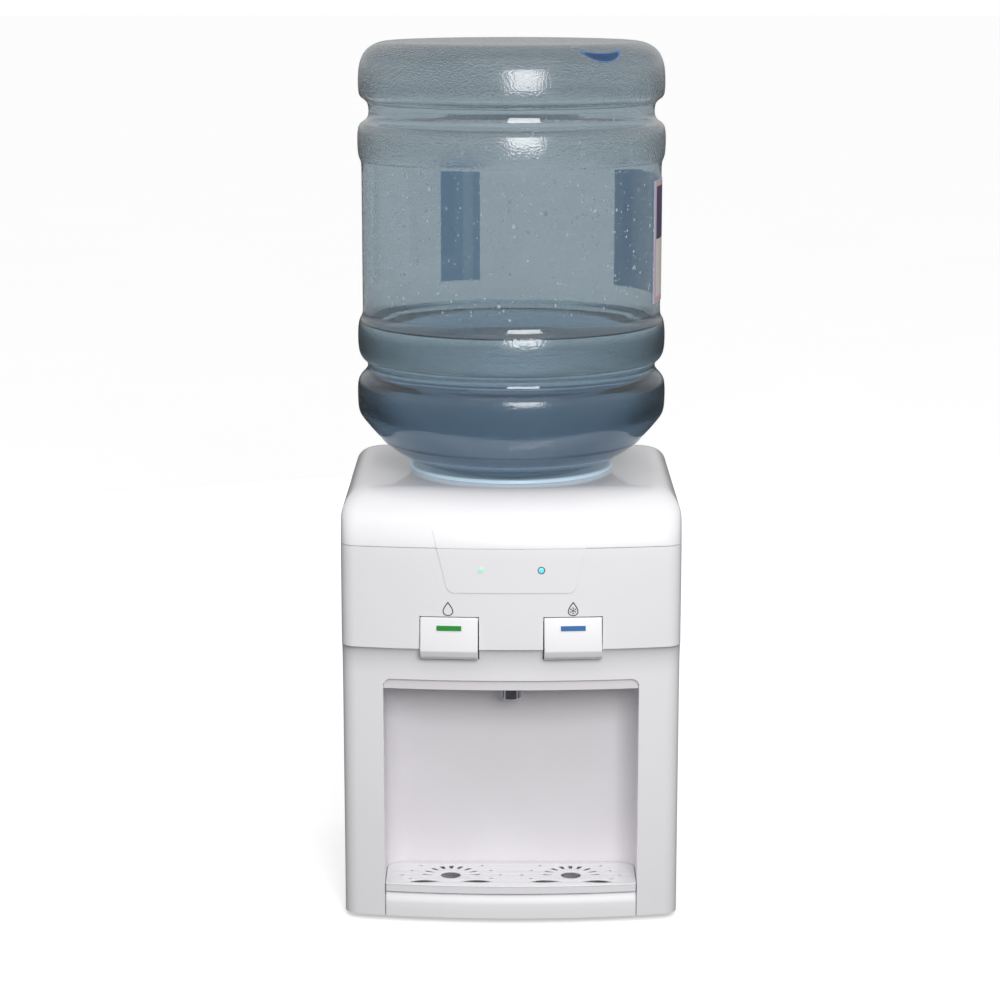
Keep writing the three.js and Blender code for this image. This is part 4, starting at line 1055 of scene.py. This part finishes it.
def printed_line(points, width, closed):
    """A flat printed line: each point of its path is widened to both sides along the path's normal, and laid
    just proud of the fascia. It returns the four lines of its square section."""
    step = np.roll(points, -1, 0) - np.roll(points, 1, 0) if closed else np.gradient(points, axis=0)
    step /= np.maximum(np.linalg.norm(step, axis=1, keepdims=True), 1e-9)
    normal = np.stack([-step[:, 1], step[:, 0]], 1)
    lines = []
    for across, proud in ((-0.5, -0.4), (-0.5, LIFT), (0.5, LIFT), (0.5, -0.4)):
        flat = points + normal * width * across
        lines.append(np.stack([flat[:, 0], front_y(flat[:, 0], -proud), flat[:, 1]], 1))
    section = np.stack(lines, 1)
    return np.concatenate([section, section[:1]]) if closed else section


def drop_icon(name, side, snow):
    """Printed drop outline: x = sin t times a power of sin t/2, z = cos t, so it comes to a point on top.
    The cold one holds a snow crystal of three rays with barbs."""
    centre = np.array([side * BUTTON_X + (0.0 if side > 0 else -1.0), 293.4])
    t = np.linspace(0, 2 * pi, 61)[:-1]
    drop = np.stack([4.9 * np.sin(t) * np.sin(t / 2) ** 1.3 * 1.18, 5.9 * np.cos(t)], 1)
    skin = Skin().grid(printed_line(drop + centre, 0.95, True), closed=True)
    if snow:
        heart = centre + (0, -1.5)
        for number in range(3):
            a = pi * number / 3 + pi / 2
            tip = 3.1 * np.array([np.cos(a), np.sin(a)])
            ray = between(-tip, tip, 9) + heart
            skin.bar(printed_line(ray, 0.55, False))
        for number in range(6):
            a = pi * number / 3 + pi / 2
            tip = heart + 2.0 * np.array([np.cos(a), np.sin(a)])
            for turn in (-0.9, 0.9):
                end = tip + 1.1 * np.array([np.cos(a + turn), np.sin(a + turn)])
                skin.bar(printed_line(between(tip, end, 4), 0.4, False))
    return build(f"print_{name}", skin, "root", "black_abs", INK, smooth=60)


# ------------------------------------------------------------------ bottle
def bottle_outline():
    """Outer profile of the bottle, as (radius, z) going down: flat base, shoulder, two upper rings, plain
    band, two lower rings, dome with three thin draw lines, and neck."""
    plain_top, plain_bottom = 672.0, 534.5
    turns = [
        (0, BOTTLE_TOP), (52, BOTTLE_TOP), (104, BOTTLE_TOP), (119, 778.6), (131, 771.5), (136.2, 760.5),
        (137.6, 749), (137.6, 737), (136.6, 730.5), (131.5, 727.2), (128.5, 723), (128.2, 714),
        (131.0, 709.2), (136.4, 706.2), (138.6, 700), (138.6, 684), (137.7, 677), (BODY_R, plain_top),
        (BODY_R, 660), (BODY_R, 545), (BODY_R, plain_bottom), (138.7, 529.5), (139.9, 519), (139.6, 504),
        (137.0, 496.5), (132.0, 492.5), (130.6, 487.5), (133.0, 482.5), (139.2, 476.5), (140.5, 469),
        (140.4, 454), (139.3, 446), (136.2, 441.2), (133.6, 438.0), (128.4, 431.6), (119, 421.6),
        (118.6, 420.2), (109.6, 412.6), (97.4, 405.6), (96.8, 404.4), (85.6, 400.2), (74.2, 396.4),
        (73.6, 395.6), (58, 392.0), (45, 389.9), (33.0, 388.0), (27.5, 382.5), (27.5, 372),
        (27.5, NECK_BOTTOM + 1), (27.0, NECK_BOTTOM),
    ]
    return fillet(turns, 9.0, 6)


OUTER = bottle_outline()
INNER = offset(OUTER[1:-3], -BOTTLE_WALL)
INNER[:, 0] = np.maximum(INNER[:, 0], 24.9)
SIDES = 144


def bottle():
    """Blown wall: the outer profile down to the mouth, and back up inside at the wall's thickness."""
    top = np.array([[0, BOTTLE_TOP - BOTTLE_WALL]])
    mouth = np.array([[25.1, NECK_BOTTOM]])
    inner = INNER[::-1][::2]
    profile = np.concatenate([OUTER, mouth, inner, top])
    return build("bottle_wall", Skin().grid(lathe(profile, SIDES), closed=True), "bottle", "bottle_pc",
                 FINISHES["bottle_pc"], ["bottle"], smooth=60)


def bottle_water():
    """Water up to its level. It reaches 0.08 mm into the wall, so that light passes straight from one to the
    other, and creeps up the wall at its edge."""
    line = INNER[::2] + (0.08, 0)
    line = line[line[:, 1] < WATER_LEVEL - 3]
    rim = line[0, 0]
    top = [(0, 0), (rim * 0.5, 0), (rim - 4, 0), (rim - 1.6, 0.3), (rim - 0.5, 1.0), (rim, 2.0)]
    profile = np.concatenate([np.array(top) + (0, WATER_LEVEL), line, [(0, line[-1, 1])]])
    skin = Skin().grid(lathe(profile, SIDES), closed=True)
    return build("bottle_water", skin, "bottle", "bottle_pc", WATER, smooth=60)


def droplets(name, count, seed, low, high, size):
    """Condensation on the inside of the wall: flattened half domes pointing inwards, sizes from small to
    `size` millimetres, most of them small; every dome is a ring of eight points round a top."""
    draw = np.random.default_rng(seed)
    bearing = draw.uniform(0, 2 * pi, count)[:, None, None]
    z = draw.uniform(low, high, count)[:, None, None]
    r = (0.35 + (size - 0.35) * draw.random(count) ** 3)[:, None, None]
    tall = draw.uniform(0.9, 1.7, count)[:, None, None]
    a = np.linspace(0, 2 * pi, 9)[None, None, :-1]
    level = np.array([0.0, 0.45, 0.8, 1.0])[None, :, None]
    width = np.array([1.0, 0.9, 0.55, 0.0])[None, :, None]
    across = r * width * np.cos(a) / BODY_R
    up = r * tall * width * np.sin(a)
    depth = BODY_R - BOTTLE_WALL + 0.1 - level * r * 0.45
    depth = np.broadcast_to(depth, (count, 4, 8))
    points = np.stack([depth * np.sin(bearing + across), -depth * np.cos(bearing + across), z + up], -1)
    skin = Skin()
    faces = quads(4, 8, True)
    base = np.arange(8)[::-1]
    for number, drop in enumerate(points):
        skin.points.append(drop.reshape(-1, 3))
        skin.faces.extend((faces + 32 * number).tolist())
        skin.faces.append((base + 32 * number).tolist())
    return build(name, skin, "bottle", "bottle_pc", CONDENSATION_PAINTED_GLINT, smooth=80)


def wrap_label(name, node, start, end, outer_finish, inner_finish, slot):
    """Film wrapped on the plain band between two bearings, measured from the front towards +X. The outer
    face has a UV map, 0 to 1 along and up the label; the inner face shows the adhesive side."""
    low, high = corners(node)[0][2], corners(node)[1][2]
    bearing = np.radians(np.linspace(start, end, 40))
    z = np.linspace(low, high, 8)
    faces = []
    for r in (BODY_R + 0.72, BODY_R + 0.38):
        x = np.broadcast_to(r * np.sin(bearing), (8, 40))
        y = np.broadcast_to(-r * np.cos(bearing), (8, 40))
        faces.append(np.stack([x, y, np.broadcast_to(z[:, None], (8, 40))], -1))
    outer, inner = faces
    skin = Skin().grid(outer).grid(inner, flip=True)
    for a, b in ((outer[0], inner[0]), (inner[-1], outer[-1])):
        skin.grid(np.stack([b, a]))
    for a, b in ((outer[:, 0], inner[:, 0]), (inner[:, -1], outer[:, -1])):
        skin.grid(np.stack([a, b]))
    piece = build(name, skin, "bottle", slot, [outer_finish, inner_finish], [node], smooth=30)
    mesh = piece.data
    middles = np.empty(len(mesh.polygons) * 3)
    mesh.polygons.foreach_get("center", middles)
    middles = middles.reshape(-1, 3) / MM
    radius = np.hypot(middles[:, 0], middles[:, 1])
    mesh.polygons.foreach_set("material_index", (radius < BODY_R + 0.6).astype(np.int32))
    spots = np.empty(len(mesh.vertices) * 3)
    mesh.vertices.foreach_get("co", spots)
    spots = spots.reshape(-1, 3) / MM
    owner = np.empty(len(mesh.loops), int)
    mesh.loops.foreach_get("vertex_index", owner)
    along = (np.degrees(np.arctan2(spots[:, 0], -spots[:, 1])) % 360 - start) / (end - start)
    upward = (spots[:, 2] - low) / (high - low)
    uv = np.stack([along, upward], 1)[owner]
    layer = mesh.uv_layers.new(name="print")
    layer.data.foreach_set("uv", uv.ravel())
    return piece


def shoulder_crescent_painted_shade():
    """Dark blue crescent on the bottle's shoulder, painted shade standing for the shading at the edge of the
    base's push-up dimple: a bow whose width swells to its middle, laid on the profile by arc length."""
    t = np.linspace(0, 1, 33)
    half = 0.3 + 4.2 * np.sin(pi * t)
    reach = 22.0 * np.cos(pi * (1 - t) * 0.94 + 0.09)
    sag = -9.0 * np.sin(pi * t)
    down = OUTER[1:]
    along = np.concatenate([[0], np.cumsum(np.linalg.norm(np.diff(down, axis=0), axis=1))])
    start = 84.0
    layers = []
    for lift in (0.12, -0.4):
        for edge in (-1, 1):
            spot = start - sag + edge * half
            r = np.interp(spot, along, down[:, 0])
            z = np.interp(spot, along, down[:, 1])
            slope_r, slope_z = (np.interp(spot + 0.5, along, down[:, axis])
                                - np.interp(spot - 0.5, along, down[:, axis]) for axis in (0, 1))
            r, z = r - slope_z * lift, z + slope_r * lift
            bearing = np.radians(37) + reach / np.maximum(r, 60)
            layers.append(np.stack([r * np.sin(bearing), -r * np.cos(bearing), z], 1))
    section = np.stack([layers[0], layers[1], layers[3], layers[2]], 1)
    # Painted shade: a solid blue crescent put where the dimple's edge only shades the bottle.
    return build("shoulder_crescent_painted_shade", solid_of(section), "bottle", "cap_blue", FINISHES["cap_blue"], smooth=60)


def turned_piece(name, profile, body, slot, node, round_by, sides=96, **more):
    """A lathe piece with a closed profile that stands for a CAD node."""
    line = fillet(profile, round_by, 5, closed=True)
    rings = lathe(np.concatenate([line, line[:1]]), sides)
    return build(name, Skin().grid(rings, closed=True), body, slot, FINISHES[slot], [node], **more)


def bottle_collar():
    """Seat ring: a rolled rim that covers the hole, a shallow funnel, and a sleeve round the neck."""
    seat = CASE_TOP + 0.3
    profile = [(93, seat), (93, 396.2), (91.4, 397), (88.4, 397), (84.5, 393.9), (46, 389.6), (38, 387.9),
               (33.1, 382), (33.1, 350), (35.5, 350), (35.5, 380), (42, 384.6), (85.6, 390.2), (85.6, seat)]
    # The collar's finish carries painted light: a blue tint and a glow that stand for light from the bottle.
    return turned_piece("bottle_collar_ring", profile, "root", "pale_blue_pp", "bottle_collar", 1.2, 128,
                        smooth=50)


def bottle_cap():
    """Cap pushed on the neck, pierced by the probe."""
    profile = [(13, 330), (30, 330), (31, 331), (31, 352), (27.8, 352), (27.8, 333), (13, 333)]
    return turned_piece("bottle_cap_shell", profile, "bottle", "cap_blue", "bottle_cap", 0.6)


# ------------------------------------------------------------------ small parts
def foot(node):
    """Rubber foot: a low barrel with a chamfered edge and a shallow dish under it."""
    low, high = corners(node)
    x, y = (low[:2] + high[:2]) / 2
    profile = fillet([(0, 0.5), (6, 0.5), (6.5, 0), (11, 0), (12.5, 1.5), (12.5, 5), (0, 5)], 0.6)
    skin = Skin().grid(lathe(profile, 48) + (x, y, 0), closed=True)
    build(node + "_moulded", skin, "root", "rubber", FINISHES["rubber"], [node])


def rectangle(x, z, half_x, half_z, r):
    """Closed outline of a rectangle with round corners."""
    square = np.array([(-1, -1), (1, -1), (1, 1), (-1, 1)])
    return fillet((x, z) + square * (half_x, half_z), r, 5, closed=True)


def rear_panel():
    """Flat panel with nine cooling slots, longest in the middle, and the openings of inlet, switch, drain
    and screws."""
    low, high = corners("rear_panel")
    rounding = 0.4
    middle = (low[2] + high[2]) / 2
    outlines = [rectangle(0, middle, high[0] - rounding, high[2] - middle - rounding, 0.3)]
    for step in range(-4, 5):
        outlines.append(rectangle(0, VENT_Z + 9.5 * step, 42.4 - 3 * abs(step), 2.6, 2.5))
    outlines.append(rectangle(FITTINGS_X, INLET_Z, 13.9, 10.9, 1))
    outlines.append(rectangle(FITTINGS_X, SWITCH_Z, 10.4, 14.4, 1))
    outlines.append(circle(0, DRAIN_Z, 12.9, 48))
    for x in (-SCREW_X, SCREW_X):
        for z in SCREW_LEVELS:
            outlines.append(circle(x, z, 2.5, 24))
    points, faces = pierced_plate(outlines, WALL, rounding)
    points = np.stack([points[:, 0], CASE_BACK - WALL / 2 - points[:, 2], points[:, 1]], 1)
    skin = Skin().loose(points, faces)
    return build("rear_panel_pressed", skin, "root", "white_abs", FINISHES["white_abs"], ["rear_panel"],
                 smooth=40)


def drain_cap():
    """Screw cap with twenty grip ribs: its radius carries a cosine round it."""
    low, high = corners("drain_cap")
    z = (low[2] + high[2]) / 2
    r = (high[0] - low[0]) / 2
    profile = fillet([(0, high[1] - 0.5), (r - 3, high[1] - 0.5), (r - 2.4, high[1]), (r - 1, high[1]),
                      (r - 0.3, high[1] - 0.8), (r - 0.3, low[1]), (7.9, low[1]), (7.9, 152.9),
                      (0, 152.9)], 0.4)
    rings = along_y(lathe(profile, 160, flutes=20, depth=0.02)) + (0, 0, z)
    build("drain_cap_moulded", Skin().grid(rings, closed=True), "cap", "white_abs", FINISHES["white_abs"],
          ["drain_cap"], smooth=50)


def rear_screw(node):
    """Pan-head screw with a cross recess: the head is a low dome whose cross is a second, sunk surface."""
    low, high = corners(node)
    x, z = (low[0] + high[0]) / 2, (low[2] + high[2]) / 2
    steps = np.linspace(-1, 1, 41)
    u, v = np.meshgrid(steps, steps)
    squash_r = np.sqrt(u**2 + v**2 - u**2 * v**2) / np.maximum(np.hypot(u, v), 1e-9)
    a, b = u * squash_r, v * squash_r
    upright = np.maximum(np.abs(a) * 9, np.abs(b) * 1.7)
    level = np.maximum(np.abs(b) * 9, np.abs(a) * 1.7)
    cross = np.minimum(upright, level)
    sunk = 0.9 * np.clip(1.3 - cross, 0, 0.3) / 0.3
    dome = high[1] - 0.55 * (a**2 + b**2) ** 2 - sunk
    head = np.stack([x + 3.5 * a, dome, z + 3.5 * b], -1)
    skin = Skin().grid(head)
    rim = np.concatenate([head[0, :-1], head[:-1, -1], head[-1, :0:-1], head[:0:-1, 0]])
    under = rim.copy()
    under[:, 1] = high[1] - 1.7
    skin.grid(np.stack([rim, under]), closed=True).cap(under)
    build(node + "_headed", skin, "root", "stainless", FINISHES["stainless"], [node], smooth=40)


front_shell()
plateau("lamp_plateau_lower", PLATEAU_BOTTOM, SHELL_TOP)
plateau("lamp_plateau_upper", SEAM, PLATEAU_TOP)
side_panel(-1)
side_panel(1)
top_cover()
recess_liner()
spout_nozzle()
drip_tray()
drip_grille()
for label, hand, insert in (("ambient", -1, "green_insert"), ("cold", 1, "blue_insert")):
    button(label, hand)
    rounded_copy(f"marker_{label}", f"{label}_button", FINISHES[insert], 0.12)
    drop_icon(label, hand, snow=label == "cold")
lamp("power", -1, "green", FINISHES["white_abs"])
lamp("cold", 1, "cyan", LAMP_RING)

bottle()
bottle_water()
droplets("droplets_fine", 900, 3, 545, 705, 1.3)
droplets("droplets_large", 60, 8, 548, 695, 2.2)
# The labels' adhesive sides glow as painted light.
wrap_label("side_label", "bottle_label", 69, 133.5, FINISHES["label_film"], FINISHES["back_label_film"],
           "label_film")
wrap_label("rear_label", "bottle_back_label", 193, 210, SECOND_FILM, SEAMED_FILM, "back_label_film")
shoulder_crescent_painted_shade()
bottle_collar()
bottle_cap()

for foot_node in ("foot_front_left", "foot_front_right", "foot_rear_left", "foot_rear_right"):
    foot(foot_node)
for number in (1, 2, 3, 4):
    rear_screw(f"rear_screw_{number}")
drain_cap()
rear_panel()
for small, holder, finish_slot, rounding in (
    ("base_plate", "root", "inner_white", 0.5),
    ("power_inlet", "root", "black_abs", 0.3), ("switch_housing", "root", "black_abs", 0.3),
    ("switch_rocker", "rocker", "red_abs", 0.5), ("heat_sink", "root", "aluminium", 0.15),
    ("fan_frame", "root", "black_abs", 0.4), ("fan_rotor", "fan", "black_abs", 0.3),
):
    rounded_copy(small, holder, FINISHES[finish_slot], rounding)


# ------------------------------------------------------------------ stage, light, camera
def floor():
    """Wide pale floor. It neither lights the object nor mirrors in it, so undersides stay grey."""
    reach = 40.0
    spots = [(-reach, -reach, 0), (reach, -reach, 0), (reach, reach, 0), (-reach, reach, 0)]
    mesh = bpy.data.meshes.new("floor")
    mesh.from_pydata(spots, [], [(0, 1, 2, 3)])
    plane = bpy.data.objects.new("floor", mesh)
    bpy.context.scene.collection.objects.link(plane)
    material, tree, shader, place = surface("pale_paper", Emission_Strength=0.42)
    mottled(tree, shader, place, "#F4F4F4", "#F1F1F1", 400, 0.9, 0.02)
    shader.inputs["Emission Color"].default_value = (1, 1, 1, 1)
    mesh.materials.append(material)
    plane.visible_diffuse = False
    plane.visible_glossy = False


def softbox(name, place, aim, width, height, power):
    """Rectangular area light that looks at a point."""
    light = bpy.data.lights.new(name, "AREA")
    light.shape = "RECTANGLE"
    light.size = width
    light.size_y = height
    light.energy = power
    lamp_object = bpy.data.objects.new(name, light)
    bpy.context.scene.collection.objects.link(lamp_object)
    lamp_object.visible_camera = False
    lamp_object.visible_transmission = False
    direction = np.array(aim) - np.array(place)
    flat = np.hypot(direction[0], direction[1])
    lamp_object.location = place
    lamp_object.rotation_euler = Euler((pi / 2 + np.arctan2(direction[2], flat), 0,
                                        np.arctan2(direction[1], direction[0]) - pi / 2))
    return lamp_object


def world():
    """Even white surroundings, dim below the horizon as a floor that gives little back; the camera itself
    sees plain white."""
    made = bpy.data.worlds.new("white_room")
    made.use_nodes = True
    tree = made.node_tree
    back = tree.nodes["Background"]
    spot = add(tree, "SeparateXYZ", Vector=add(tree, "TexCoord").outputs["Generated"])
    height = add(tree, "MapRange", Value=spot.outputs["Z"], i1=-1.0, i2=1.0)
    dim, bright = (0.06, 0.06, 0.06, 1), (0.62, 0.62, 0.62, 1)
    room = ramp_of(tree, height.outputs["Result"], (0.46, dim), (0.54, bright))
    seen = add(tree, "Mix", {"data_type": "RGBA"}, Factor=add(tree, "LightPath").outputs["Is Camera Ray"])
    tree.links.new(room, seen.inputs[6])
    seen.inputs[7].default_value = (1, 1, 1, 1)
    tree.links.new(seen.outputs[2], back.inputs["Color"])
    bpy.context.scene.world = made


def camera():
    """Straight in front, looking down from just above the bottle's top through a long lens."""
    turn, pitch, away, height = np.radians(0.251), np.radians(11.67), 2.3625, 0.8481
    lens = bpy.data.cameras.new("camera")
    lens.lens = 93.85
    lens.sensor_width = 36
    view = bpy.data.objects.new("camera", lens)
    view.location = (0, -away, height)
    view.rotation_euler = (pi / 2 - pitch, 0, turn)
    bpy.context.scene.collection.objects.link(view)
    bpy.context.scene.camera = view


floor()
world()
softbox("key", (0.25, -1.5, 0.95), (0, -0.1, 0.43), 0.66, 0.75, 16)
softbox("overhead", (0.0, -1.0, 1.8), (0, -0.1, 0.25), 1.6, 0.8, 2.5)
rear_light = softbox("rear", (-0.6, 1.8, 0.35), (0, 0.15, 0.25), 1.4, 0.6, 5)
rear_light.visible_glossy = False
camera()
bpy.context.scene.view_settings.view_transform = "Standard"
